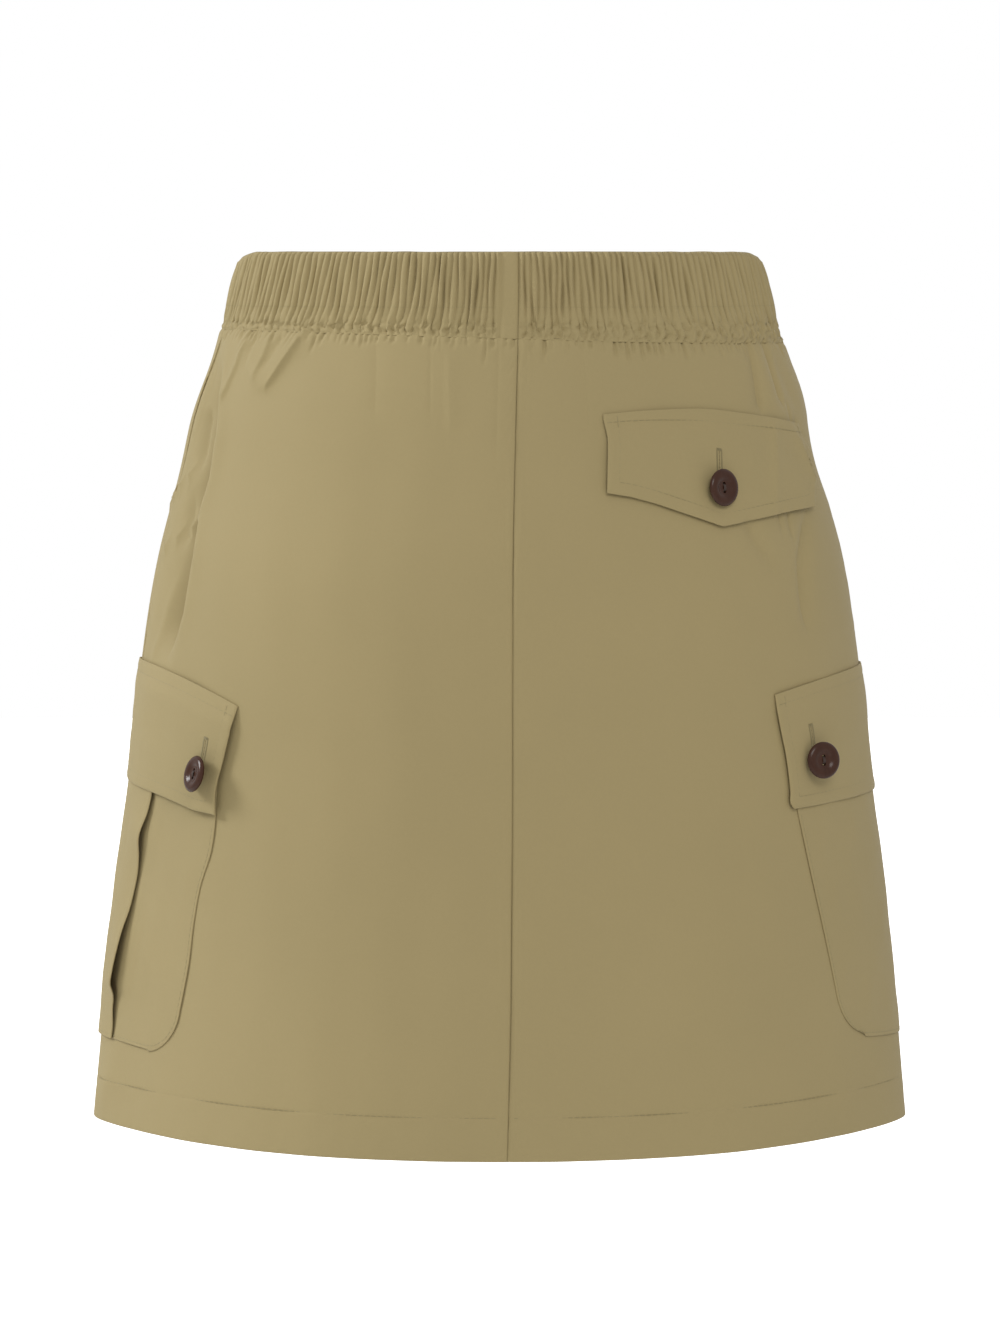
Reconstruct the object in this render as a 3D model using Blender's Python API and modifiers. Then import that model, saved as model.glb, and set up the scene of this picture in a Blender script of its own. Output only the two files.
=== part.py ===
"""Cargo utility skirt in its worn shape, built piece by piece as it is cut and sewn.

Metres, +Z up. The wearer faces +Y, so the back of the skirt faces -Y and +X is the
wearer's right. The origin is the centre of the waist at mid height of the elastic.

Places on the cloth are given by
  drop   how far below the waistband's top edge,
  way    how far round: 0 right side seam, 0.25 centre back, 0.5 left side seam,
         0.75 centre front,
  lift   how far outside the cloth's outer face.
Each sheet is a grid whose columns run from left to right and whose rows run from bottom
to top, as seen from outside, so its faces point out.
"""

import functools
import math
from collections import namedtuple

import bmesh
import bpy
import numpy as np
from mathutils import Matrix, Vector

MM = 0.001
NAME = "cargo_utility_skirt"

# ---------------------------------------------------------------- driving sizes
LENGTH = 432 * MM  # waistband's top edge to hem
ELASTIC_HEIGHT = 34 * MM
BAND_HEIGHT = 42 * MM  # the elastic and the frill below it
BAND_LEAN = 3.4 * MM  # the frill is deeper on the wearer's right by this, and less on the left
BAND_THICKNESS = 3.2 * MM  # cloth, elastic, cloth
CLOTH = 1.1 * MM  # wall of a single layer
HEM_CLOTH = 2.0 * MM  # the hem is turned up once
HEM_HEIGHT = 22 * MM
SEAM_GAP = 0.3 * MM
LAID_GAP = 0.45 * MM  # under a piece that lies on another one
TOP_LEVEL = ELASTIC_HEIGHT / 2  # height of the waistband's top edge

GATHERS = 196
GATHER_RISE = 1.5 * MM  # trough to crest
GATHER_SHIFT = 0.22  # unevenness of their spacing, as a share of half a gather
FLAT_JOIN = 9 * MM  # the waistband's ends overlap here and aren't gathered
TOP_DIP = 5 * MM  # the waistband's upper edge sinks by this at the sides
DIP_REACH = 13 * MM  # it starts to sink this far in from the widest points

POCKET_CLOTH = 1.0 * MM
POCKET_CORNER = 20 * MM
POCKET_MOUTH = 14 * MM  # below the flap's upper edge
POCKET_ROWS = 14
CORNER_ROWS = 4  # of these, in the round of the corners
CORNER_FOOT = 0.12  # share of its width that a corner keeps along the base

FLAP_CLOTH = 1.2 * MM  # two layers, pressed

BUTTON_ACROSS = 18 * MM
BUTTON_THICK = 3.0 * MM
BUTTON_DISH = 8 * MM  # across the dished middle
BUTTON_HOLE = 1.9 * MM
BUTTON_HOLE_PITCH = 3.6 * MM
BUTTON_SIDES = 20
BUTTON_HOLE_SIDES = 8

# Level sections of the cloth's outer face, top to bottom, in millimetres. side_pinch
# draws a section in towards the sides, from an ellipse to a lens. turn is how far the
# skirt sits round to the wearer's right. seam_forward is how far in front of the widest
# points the side seams lie.
Section = namedtuple(
    "Section", "drop half_width back_depth front_depth side_pinch turn seam_forward"
)
SECTIONS = [
    Section(0, 129.0, 92, 95, 0.00, 9.0, -10),
    Section(20, 133.6, 96, 98, 0.00, 9.0, -10),
    Section(42, 139.8, 102, 101, 0.02, 8.6, -10),
    Section(70, 149.7, 111, 105, 0.05, 7.8, -10),
    Section(110, 159.2, 121, 109, 0.08, 6.8, -10),
    Section(150, 170.0, 129, 112, 0.12, 6.2, -9),
    Section(200, 178.4, 132, 114, 0.17, 6.0, -8),
    Section(250, 183.3, 132, 117, 0.23, 6.0, -3),
    Section(310, 191.4, 132, 120, 0.30, 5.6, 6),
    Section(370, 198.0, 134, 124, 0.36, 5.0, 15.5),
    Section(432, 203.4, 136, 128, 0.39, 3.4, 25),
]

# Soft folds of the cloth, in millimetres. across is measured round the skirt: for the back
# and the front from the middle towards the wearer's right, and for the left and the right
# from the side seam towards the back. A fold dies away over this share of its length past
# each end.
FOLD_FADE = 0.3
Fold = namedtuple("Fold", "side across_top drop_top across_bottom drop_bottom half_width rise")
FOLDS = [
    Fold("back", -112, 40, -136, 66, 9, 1.6),
    Fold("back", -150, 44, -132, 66, 8, 1.4),
    Fold("back", -170, 56, -166, 112, 7, 1.4),
    Fold("back", -184, 40, -182, 112, 9, -1.6),
    Fold("back", 150, 46, 172, 82, 8, -1.6),
    Fold("back", 130, 44, 148, 80, 8, 1.2),
    Fold("right", 0, 80, -4, 118, 17, -2.3),
    Fold("left", -18, 44, -18, 78, 22, -1.3),
    Fold("back", 178, 128, 196, 152, 7, -1.5),
    Fold("back", -236, 396, -250, 432, 12, 1.8),
    Fold("front", -120, 44, -150, 110, 11, 1.5),
    Fold("front", -60, 44, -72, 130, 13, 1.2),
    Fold("front", 44, 44, 58, 120, 12, 1.2),
    Fold("front", 112, 44, 146, 116, 11, 1.6),
    Fold("front", -96, 300, -110, 432, 26, 2.2),
    Fold("front", 88, 320, 104, 432, 24, 2.0),
]

# A panel's columns: these distances from its side seam, then even steps to its middle.
SEAM_COLUMNS = [0, 2, 12, 24, 42, 58, 75, 93, 108]
MIDDLE_COLUMNS = 8
PANEL_ROWS = 19  # below the waistband and above the hem

# Cargo pockets, in the middle over the side seams. side is 1 for the wearer's right. The
# flap's upper and lower edges and the pocket's base are given by their drop at the side
# seam and how much further down they are, on a soft curve, at the flap's ends, in
# millimetres. flap_rear is how far behind the seam the flap ends. Its two buttons are
# button_out to each side of the seam and button_down below the upper edge, and hang turned
# and nodding by these degrees.
CargoPocket = namedtuple(
    "CargoPocket",
    "name side flap_top top_fall flap_bottom bottom_fall flap_rear base base_fall "
    "button_out button_down button_turn button_nod",
)
CARGO_POCKETS = [
    CargoPocket("left", -1, 201.5, 16.4, 262.0, 11.5, 96, 389.3, 2.5, 82.0, 40.9, 18, 8),
    CargoPocket("right", 1, 204.2, 8.3, 267.1, 2.3, 99, 389.7, -6.5, 77.4, 39.4, -22, 7),
]

# The cargo pocket's sheet from left to right: where each column lies from the middle, how
# far its face is outside the panel, and how far it follows the pleat when that gapes. The
# sheet lies on the panel, then climbs over the pleat to its edge, turns under to the
# pleat's root and turns back out as the lowest of three layers.
LOWEST = (LAID_GAP + POCKET_CLOTH) / MM
TURNED = LOWEST + SEAM_GAP / MM
UPPERMOST = TURNED + (2 * POCKET_CLOTH + SEAM_GAP) / MM
PLEAT_EDGE = 42
PLEAT_ROOT = 24
PocketColumn = namedtuple("PocketColumn", "across lift gape")
POCKET_COLUMNS = [
    PocketColumn(-93, LOWEST, 0),
    PocketColumn(-75, LOWEST, 0),
    PocketColumn(-58, LOWEST, 0),
    PocketColumn(-42, LOWEST, 0),
    PocketColumn(-24, LOWEST, 0),
    PocketColumn(-12, LOWEST, 0),
    PocketColumn(-2, LOWEST, 0),
    PocketColumn(2, LOWEST + 0.1, 0),
    PocketColumn(12, LOWEST + 0.8, 0),
    PocketColumn(PLEAT_ROOT, UPPERMOST, 0.2),
    PocketColumn(PLEAT_EDGE, UPPERMOST, 1),
    PocketColumn(PLEAT_EDGE, TURNED, 1),
    PocketColumn(PLEAT_ROOT, TURNED, 0),
    PocketColumn(PLEAT_ROOT, LOWEST, 0),
    PocketColumn(PLEAT_EDGE, LOWEST, 0),
    PocketColumn(58, LOWEST, 0),
    PocketColumn(75, LOWEST, 0),
    PocketColumn(93, LOWEST, 0),
]
# How far the pleat's edge stands up, down the pocket from its mouth, in millimetres.
Gape = namedtuple("Gape", "down rise")
GAPES = [
    Gape(0, 0.0),
    Gape(46, 0.8),
    Gape(66, 0.8),
    Gape(84, 0.2),
    Gape(97, 2.2),
    Gape(108, 5.8),
    Gape(118, 6.4),
    Gape(130, 3.0),
    Gape(142, 1.0),
    Gape(158, 1.0),
    Gape(172, 0.4),
]

# The cargo flap's inner face stands this far outside the panel once it is over the pocket:
# furthest over the pleat and at the end beyond it. The end behind the side seam lies
# further out on some pockets, as flap_rear says.
FlapColumn = namedtuple("FlapColumn", "across stand")
FLAP_COLUMNS = [
    FlapColumn(-95, 2.2),
    FlapColumn(-93, 2.2),
    FlapColumn(-75, 1.9),
    FlapColumn(-58, 1.9),
    FlapColumn(-42, 1.9),
    FlapColumn(-24, 2.0),
    FlapColumn(-12, 2.0),
    FlapColumn(-2, 2.0),
    FlapColumn(2, 2.2),
    FlapColumn(12, 3.0),
    FlapColumn(24, 4.6),
    FlapColumn(42, 4.8),
    FlapColumn(58, 4.5),
    FlapColumn(75, 4.0),
    FlapColumn(93, 3.6),
    FlapColumn(95, 3.6),
]
FLAP_RISEN = 0.2  # share of a flap's height in which it climbs from the panel
FLAP_FLARE = 0.15  # how much further it stands out towards its lower edge
FLAP_ROWS = [1.0, 0.75, 0.5, FLAP_RISEN, FLAP_RISEN / 2, 0.0]  # bottom to top
FLAP_REACH = FLAP_COLUMNS[-1].across * MM


# ---------------------------------------------------------------- the worn shape
def smooth(x, xs, ys):
    """Cubic through the points (xs, ys), with slopes taken from each point's neighbours."""
    slopes = np.gradient(ys, xs)
    i = int(np.clip(np.searchsorted(xs, x) - 1, 0, len(xs) - 2))
    step = xs[i + 1] - xs[i]
    f = min(max((x - xs[i]) / step, 0.0), 1.0)
    return (
        ys[i] * (1 + 2 * f) * (1 - f) ** 2
        + ys[i + 1] * (3 - 2 * f) * f**2
        + step * (slopes[i] * f * (1 - f) ** 2 - slopes[i + 1] * f**2 * (1 - f))
    )


RING_STEPS = 1440
Ring = namedtuple("Ring", "arc x y out_x out_y back_length front_length seam")


@functools.lru_cache(maxsize=None)
def ring(drop):
    """The level section at this drop, by arc length from the +X side over the back."""
    drops = [s.drop for s in SECTIONS]
    s = Section(drop, *(smooth(drop / MM, drops, [s[k] for s in SECTIONS]) for k in range(1, 7)))
    around = np.linspace(0, 2 * math.pi, RING_STEPS + 1)
    depth = np.where(np.sin(around) > 0, s.back_depth, s.front_depth) * MM
    x = s.half_width * MM * np.cos(around)
    y = -depth * np.sin(around) * (1 - s.side_pinch * np.cos(around) ** 4)
    arc = np.concatenate([[0], np.cumsum(np.hypot(np.diff(x), np.diff(y)))])
    dx, dy = np.gradient(x), np.gradient(y)
    dx[0] = dx[-1] = 0
    size = np.hypot(dx, dy)
    forward = s.seam_forward * MM
    back_length = arc[RING_STEPS // 2] + 2 * forward
    seam = -s.turn * MM - forward  # where the right side seam lies
    return Ring(arc, x, y, -dy / size, dx / size, back_length, arc[-1] - back_length, seam)


def across(way, drop):
    """Where a point lies on each side of the skirt that it is on, measured as a fold's is."""
    r = ring(drop)
    if way < 0.5:
        around = 2 * r.back_length
        return {"back": (0.25 - way) * around, "right": way * around, "left": (0.5 - way) * around}
    around = 2 * r.front_length
    return {
        "front": (way - 0.75) * around,
        "right": (way - 1) * around,
        "left": (0.5 - way) * around,
    }


def relief(way, drop):
    """How far the soft folds raise the cloth here."""
    here = across(way % 1.0, drop)
    total = 0.0
    for fold in FOLDS:
        f = (drop / MM - fold.drop_top) / (fold.drop_bottom - fold.drop_top)
        if fold.side in here and -FOLD_FADE < f < 1 + FOLD_FADE:
            middle = fold.across_top + (fold.across_bottom - fold.across_top) * f
            fade = math.cos(math.pi * (f - 0.5) / (1 + 2 * FOLD_FADE)) ** 2
            spread = (here[fold.side] / MM - middle) / fold.half_width
            total += fold.rise * MM * fade * math.exp(-(spread**2))
    return total


def place(way, drop, lift=0.0):
    """Point of the cloth's outer face, moved out by lift."""
    r = ring(drop)
    way %= 1.0
    if way < 0.5:
        arc = 2 * way * r.back_length + r.seam
    else:
        arc = r.back_length + (2 * way - 1) * r.front_length + r.seam
    arc %= r.arc[-1]
    x, y, out_x, out_y = (np.interp(arc, r.arc, v) for v in (r.x, r.y, r.out_x, r.out_y))
    lift += relief(way, drop)
    return Vector((x + lift * out_x, y + lift * out_y, TOP_LEVEL - drop))


def way_at(side, from_seam, drop):
    """The way of a point this far behind the side seam of a side; ahead of it if negative."""
    r = ring(drop)
    part = from_seam / (2 * (r.back_length if from_seam > 0 else r.front_length))
    return part if side > 0 else 0.5 - part


def column_arcs(panel_length):
    """Distances of a panel's columns from its side seam."""
    arcs = [a * MM for a in SEAM_COLUMNS]
    step = (panel_length - arcs[-1]) / MIDDLE_COLUMNS
    return arcs + [arcs[-1] + step * k for k in range(1, MIDDLE_COLUMNS + 1)]


def on_panel(side, from_seam, drop, lift):
    """Point over the panels' own flat facets at a side, moved out by lift."""
    r = ring(drop)
    toward = 1 if from_seam > 0 else -1
    arcs = column_arcs((r.back_length if toward > 0 else r.front_length) / 2)
    k = max(i for i, a in enumerate(arcs[:-1]) if a <= abs(from_seam) + 1e-9)
    f = (abs(from_seam) - arcs[k]) / (arcs[k + 1] - arcs[k])
    low, high = (way_at(side, toward * arcs[i], drop) for i in (k, k + 1))
    return place(low, drop, lift).lerp(place(high, drop, lift), f)


# ---------------------------------------------------------------- modelling helpers
def material(name, colour, roughness, metallic=0.0):
    made = bpy.data.materials.get(name)
    if made is None:
        made = bpy.data.materials.new(name)
        made.use_nodes = True
        shader = made.node_tree.nodes["Principled BSDF"]
        shader.inputs["Base Color"].default_value = (*colour, 1)
        shader.inputs["Roughness"].default_value = roughness
        shader.inputs["Metallic"].default_value = metallic
    return made


def cotton():
    return material("cotton_twill", (0.335, 0.277, 0.128), 0.85)


def button_resin():
    return material("brown_resin", (0.045, 0.022, 0.017), 0.3)


def add_object(name, mesh, surface):
    made = bpy.data.objects.new(name, mesh)
    if not mesh.materials:
        mesh.materials.append(surface)
    bpy.data.collections[NAME].objects.link(made)
    return made


def grid_mesh(name, columns, rows, point):
    """Grid of columns x rows whose vertex in column i and row j is point(i, j)."""
    shape = bmesh.new()
    bmesh.ops.create_grid(shape, x_segments=columns - 1, y_segments=rows - 1, size=0.5)
    for vertex in shape.verts:
        i = round((vertex.co.x + 0.5) * (columns - 1))
        j = round((vertex.co.y + 0.5) * (rows - 1))
        vertex.co = point(i, j)
    mesh = bpy.data.meshes.new(name)
    shape.to_mesh(mesh)
    shape.free()
    return mesh


def cloth_sheet(name, columns, rows, point, thickness):
    """A sheet of cloth: the grid is its outer face, and its wall lies inside."""
    sheet = add_object(name, grid_mesh(name, columns, rows, point), cotton())
    sheet.data.shade_smooth()
    wall = sheet.modifiers.new("wall", "SOLIDIFY")
    wall.thickness = thickness
    wall.offset = -1
    wall.use_even_offset = True
    return sheet


# ---------------------------------------------------------------- panels and waistband
def band_bottom(way):
    return BAND_HEIGHT + BAND_LEAN * math.cos(2 * math.pi * way)


def panel_drop(way, row):
    """Drop of a panel's row, counted from the hem."""
    hem_rows = [LENGTH, LENGTH - HEM_HEIGHT + 0.5 * MM, LENGTH - HEM_HEIGHT - 0.5 * MM]
    if row < len(hem_rows):
        return hem_rows[row]
    top = band_bottom(way) + SEAM_GAP
    return hem_rows[-1] + (top - hem_rows[-1]) * (row - 2) / PANEL_ROWS


def panel_columns(side, half):
    """A function from (column, drop) to way for a half panel, in order of falling way."""

    def way(i, drop):
        r = ring(drop)
        if half == "back":
            arcs, toward, length = column_arcs(r.back_length / 2), 1, r.back_length
        else:
            arcs, toward, length = column_arcs(r.front_length / 2), -1, r.front_length
        arc = arcs[i]
        if i == 0:
            arc = SEAM_GAP / 2
        if i == len(arcs) - 1 and half == "back":
            arc -= SEAM_GAP / 2
        return (0 if side > 0 else 0.5) + side * toward * arc / (2 * length)

    return way


def add_panel(name, halves):
    """A panel of one or two halves; each is (side, 'back' or 'front')."""
    count = len(SEAM_COLUMNS) + MIDDLE_COLUMNS
    ways = []
    for side, half in halves:
        order = range(count)
        if (side > 0) == (half == "back"):
            order = reversed(order)  # way rises away from this seam
        ways += [(panel_columns(side, half), i) for i in order]
    if len(halves) == 2:
        del ways[count]  # both halves have the centre column

    def point(i, j):
        way_of, column = ways[i]
        drop = panel_drop(way_of(column, BAND_HEIGHT), j)
        return place(way_of(column, drop), drop)

    panel = cloth_sheet(name, len(ways), PANEL_ROWS + 3, point, HEM_CLOTH)
    hem = panel.vertex_groups.new(name="hem")
    fold_level = TOP_LEVEL - LENGTH + HEM_HEIGHT
    hem.add([v.index for v in panel.data.vertices if v.co.z < fold_level], 1.0, "REPLACE")
    panel.modifiers["wall"].vertex_group = "hem"
    panel.modifiers["wall"].thickness_vertex_group = CLOTH / HEM_CLOTH


# The waistband's section, from its lower edge up the outside and down the inside. height
# is a share of the elastic's height or, below it, of the frill's; inside is a share of the
# band's thickness; gather is how strongly the gathers show there.
BandPoint = namedtuple("BandPoint", "part height inside gather")
BAND_SECTION = [
    BandPoint("frill", 0.0, 0.1, 0.25),
    BandPoint("frill", 0.55, 0.0, 1.0),
    BandPoint("elastic", 0.0, 0.22, 0.7),
    BandPoint("elastic", 0.5, 0.06, 1.0),
    BandPoint("elastic", 0.94, 0.16, 0.8),
    BandPoint("elastic", 1.0, 0.53, 0.3),
    BandPoint("elastic", 0.94, 1.0, 0.0),
    BandPoint("frill", 0.0, 0.7, 0.0),
]


# Waves that make the gathers uneven: a share of their rise, the angle from one half gather
# to the next, and the angle from the top of the elastic to its foot.
GatherWave = namedtuple("GatherWave", "share along down")
GATHER_WAVES = [GatherWave(0.25, 2.4, 1.3), GatherWave(0.15, 0.73, 2.1)]


def gather_lift(k, level):
    """Height of the k-th half gather at a level: crests and troughs in turn, none alike."""
    uneven = sum(w.share * math.sin(w.along * k + w.down * level) for w in GATHER_WAVES)
    crest = 1 if k % 2 else 0
    return GATHER_RISE * (crest - 0.5) * (1 + uneven)


def side_dip(x):
    """How far the waistband's upper edge sinks this far from the middle."""
    inward = (SECTIONS[0].half_width * MM - abs(x)) / DIP_REACH
    near = 1 - math.sqrt(min(max(inward, 0), 1))
    return TOP_DIP * near**2 * (3 - 2 * near)


def add_waistband():
    steps = 2 * GATHERS

    def way(i, drop):
        """From just right of the centre back seam, round the front, to just left of it."""
        r = ring(drop)
        unit = 1 / (2 * r.back_length)
        start = SEAM_GAP / 2 * unit
        end = 1 - start
        if i > steps:
            return 0.25 - end
        last = end - FLAT_JOIN * unit
        shift = GATHER_SHIFT * math.sin(1.618 * i) if 0 < i < steps else 0
        return 0.25 - (start + (last - start) * (i + shift) / steps)

    def point(i, j):
        spot = BAND_SECTION[j % len(BAND_SECTION)]
        bottom = band_bottom(way(i, BAND_HEIGHT))
        if spot.part == "elastic":
            drop = ELASTIC_HEIGHT * (1 - spot.height)
        else:
            drop = bottom + (ELASTIC_HEIGHT - bottom) * spot.height
        rise = gather_lift(i, drop / ELASTIC_HEIGHT) * spot.gather if i < steps else 0
        placed = place(way(i, drop), drop, rise - spot.inside * BAND_THICKNESS)
        if spot.part == "elastic":
            placed.z -= side_dip(placed.x) * spot.height**3
        return placed

    mesh = grid_mesh("waistband", steps + 2, len(BAND_SECTION) + 1, point)
    shape = bmesh.new()
    shape.from_mesh(mesh)
    bmesh.ops.remove_doubles(shape, verts=shape.verts, dist=0.001 * MM)
    bmesh.ops.holes_fill(shape, edges=[e for e in shape.edges if e.is_boundary], sides=0)
    shape.to_mesh(mesh)
    shape.free()
    mesh.shade_smooth()
    add_object("waistband", mesh, cotton())


# ---------------------------------------------------------------- pockets and flaps
def edge_drop(level, fall, back):
    """Drop of an edge that falls on a soft curve from the side seam to both flap ends."""
    return (level + fall * (back / FLAP_REACH) ** 2) * MM


def pocket_row_height(row, height):
    """Height of a pocket's row above its base: closer rows round the corner, then even ones."""
    if row <= CORNER_ROWS:
        return POCKET_CORNER * (1 - math.cos(math.pi / 2 * row / CORNER_ROWS))
    f = (row - CORNER_ROWS) / (POCKET_ROWS - 1 - CORNER_ROWS)
    return POCKET_CORNER + (height - POCKET_CORNER) * f


def add_cargo_pocket(pocket):
    def point(i, j):
        column = POCKET_COLUMNS[i]
        back = -pocket.side * column.across * MM  # distance behind the side seam
        top = edge_drop(pocket.flap_top, pocket.top_fall, back) + POCKET_MOUTH
        bottom = edge_drop(pocket.base, pocket.base_fall, back)
        above_base = pocket_row_height(j, bottom - top)
        drop = bottom - above_base
        straight = POCKET_COLUMNS[-1].across * MM - POCKET_CORNER
        over = abs(back) - straight
        if over > 0 and above_base < POCKET_CORNER:
            reach = math.sqrt(POCKET_CORNER**2 - (POCKET_CORNER - above_base) ** 2)
            back = math.copysign(straight + over * max(reach / POCKET_CORNER, CORNER_FOOT), back)
        downs = [g.down for g in GAPES]
        gape = smooth((drop - top) / MM, downs, [g.rise for g in GAPES]) * column.gape
        return on_panel(pocket.side, back, drop, (column.lift + max(gape, 0)) * MM)

    name = f"cargo_pocket_{pocket.name}"
    cloth_sheet(name, len(POCKET_COLUMNS), POCKET_ROWS, point, POCKET_CLOTH)


def cargo_flap_point(pocket, along, down):
    """Point of a cargo flap's face: along from its middle, down as a share of its height."""
    back = -pocket.side * along
    top = edge_drop(pocket.flap_top, pocket.top_fall, back)
    bottom = edge_drop(pocket.flap_bottom, pocket.bottom_fall, back)
    stand = MM * np.interp(along / MM, *zip(*FLAP_COLUMNS))
    risen = min(down / FLAP_RISEN, 1) + FLAP_FLARE * max(down - FLAP_RISEN, 0)
    lift = FLAP_CLOTH + LAID_GAP + (stand - LAID_GAP) * risen
    return on_panel(pocket.side, back, top + (bottom - top) * down, lift)


def add_cargo_flap(pocket):
    columns = [column.across for column in FLAP_COLUMNS]
    columns[0 if pocket.side > 0 else -1] = -pocket.side * pocket.flap_rear

    def point(i, j):
        return cargo_flap_point(pocket, columns[i] * MM, FLAP_ROWS[j])

    name = f"cargo_flap_{pocket.name}"
    cloth_sheet(name, len(FLAP_COLUMNS), len(FLAP_ROWS), point, FLAP_CLOTH)


# The pointed flap on the right back panel, in millimetres: its columns' distances from the
# centre seam, the drops of its upper and lower edges, and how far its inner face is from
# the panel at the sewn upper edge and once it has risen.
BackFlapColumn = namedtuple("BackFlapColumn", "from_centre top bottom sewn stand")
BACK_FLAP_COLUMNS = [
    BackFlapColumn(44, 77.5, 114.5, 0.45, 1.8),
    BackFlapColumn(56, 76.3, 116.5, 0.45, 1.5),
    BackFlapColumn(69, 75.6, 120.0, 0.45, 1.4),
    BackFlapColumn(82, 75.3, 124.2, 0.45, 1.4),
    BackFlapColumn(94, 75.4, 128.0, 0.45, 1.5),
    BackFlapColumn(105, 76.3, 131.5, 0.45, 1.8),
    BackFlapColumn(118, 77.9, 129.9, 0.45, 1.8),
    BackFlapColumn(131, 79.4, 128.2, 0.5, 1.8),
    BackFlapColumn(144, 81.1, 126.6, 0.7, 2.0),
    BackFlapColumn(157, 82.9, 125.4, 1.0, 2.4),
    BackFlapColumn(173, 84.4, 124.3, 1.4, 3.0),
]
BACK_FLAP_ROWS = [1.0, 0.75, 0.5, 0.3, 0.15, 0.0]  # bottom to top
BACK_FLAP_RISEN = 0.5
BACK_BUTTON_OUT = 103 * MM  # from the centre seam
BACK_BUTTON_DOWN = 37.5 * MM
BACK_BUTTON_TURN = 7
BACK_BUTTON_NOD = -6


def back_flap_point(from_centre, down):
    """Point of the back flap's face: down is a share of its height there."""
    places, *profiles = zip(*BACK_FLAP_COLUMNS)
    top, bottom, sewn, stand = (MM * np.interp(from_centre / MM, places, p) for p in profiles)
    drop = top + (bottom - top) * down
    lift = FLAP_CLOTH + sewn + (stand - sewn) * min(down / BACK_FLAP_RISEN, 1)
    back = ring(drop).back_length / 2 - from_centre
    return on_panel(1, back, drop, lift)


def add_back_flap():
    def point(i, j):
        return back_flap_point(BACK_FLAP_COLUMNS[i].from_centre * MM, BACK_FLAP_ROWS[j])

    columns, rows = len(BACK_FLAP_COLUMNS), len(BACK_FLAP_ROWS)
    cloth_sheet("back_pocket_flap", columns, rows, point, FLAP_CLOTH)


# ---------------------------------------------------------------- buttons
# A button's section, from the middle of its face out and round to the middle of its back:
# distances from its axis and shares of its thickness.
ButtonPoint = namedtuple("ButtonPoint", "reach height")
BUTTON_SECTION = [
    ButtonPoint(0, 0.62),
    ButtonPoint(0.31 * BUTTON_DISH, 0.62),
    ButtonPoint(0.50 * BUTTON_DISH, 0.82),
    ButtonPoint(0.36 * BUTTON_ACROSS, 1.0),
    ButtonPoint(0.43 * BUTTON_ACROSS, 0.86),
    ButtonPoint(0.50 * BUTTON_ACROSS, 0.48),
    ButtonPoint(0.45 * BUTTON_ACROSS, 0.12),
    ButtonPoint(0.35 * BUTTON_ACROSS, 0),
    ButtonPoint(0, 0),
]


def button_mesh():
    """A two-hole button on its back, with a thick domed rim and a dished middle."""
    outline = bmesh.new()
    points = [outline.verts.new((p.reach, 0, p.height * BUTTON_THICK)) for p in BUTTON_SECTION]
    for first, second in zip(points, points[1:]):
        outline.edges.new((first, second))
    mesh = bpy.data.meshes.new("button_profile")
    outline.to_mesh(mesh)
    outline.free()
    blank = add_object("button_blank", mesh, button_resin())
    turning = blank.modifiers.new("turning", "SCREW")
    turning.steps = turning.render_steps = BUTTON_SIDES
    turning.use_merge_vertices = True
    turning.merge_threshold = 0.01 * MM
    cutters = []
    for side in (-1, 1):
        at = (0, side * BUTTON_HOLE_PITCH / 2, BUTTON_THICK / 2)
        bpy.ops.mesh.primitive_cylinder_add(
            vertices=BUTTON_HOLE_SIDES,
            radius=BUTTON_HOLE / 2,
            depth=3 * BUTTON_THICK,
            location=at,
        )
        cutter = bpy.context.object
        cutters.append(cutter)
        hole = blank.modifiers.new("hole", "BOOLEAN")
        hole.object = cutter
    evaluated = blank.evaluated_get(bpy.context.evaluated_depsgraph_get())
    button = bpy.data.meshes.new_from_object(evaluated)
    for used in [blank, *cutters]:
        bpy.data.objects.remove(used, do_unlink=True)
    button.shade_smooth()
    button.set_sharp_from_angle(angle=math.radians(50))
    return button


SEAT_POINTS = 3  # points of the flap looked at under each quarter of a button's rim


def add_button(name, mesh, flap_point, spot, height, turn, nod):
    """A button at a spot of a flap of this height, hanging turned to its right and nodding
    back by these degrees, clear of the flap's facets."""
    along, down = spot
    seat = flap_point(along, down)
    reach = BUTTON_ACROSS / 2
    under = []
    for k in range(4 * SEAT_POINTS):
        angle = math.pi / 2 * k / SEAT_POINTS
        rim = along + reach * math.cos(angle), down - reach / height * math.sin(angle)
        under.append(flap_point(*rim))
    right = (under[0] - under[2 * SEAT_POINTS]).normalized()
    up = (under[SEAT_POINTS] - under[3 * SEAT_POINTS]).normalized()
    out = right.cross(up).normalized()
    level = Matrix((up.cross(out).normalized(), up, out)).transposed()
    hung = level @ Matrix.Rotation(math.radians(turn), 3, "Y")
    hung @= Matrix.Rotation(math.radians(-nod), 3, "X")
    tilt = out.angle(hung.col[2])
    lowest = min(
        p.height * BUTTON_THICK * math.cos(tilt) - p.reach * math.sin(tilt) for p in BUTTON_SECTION
    )
    stand = max((p - seat).dot(out) for p in [seat, *under]) + LAID_GAP - lowest
    frame = hung.to_4x4()
    frame.translation = seat + stand * out
    add_object(name, mesh, button_resin()).matrix_world = frame


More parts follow.
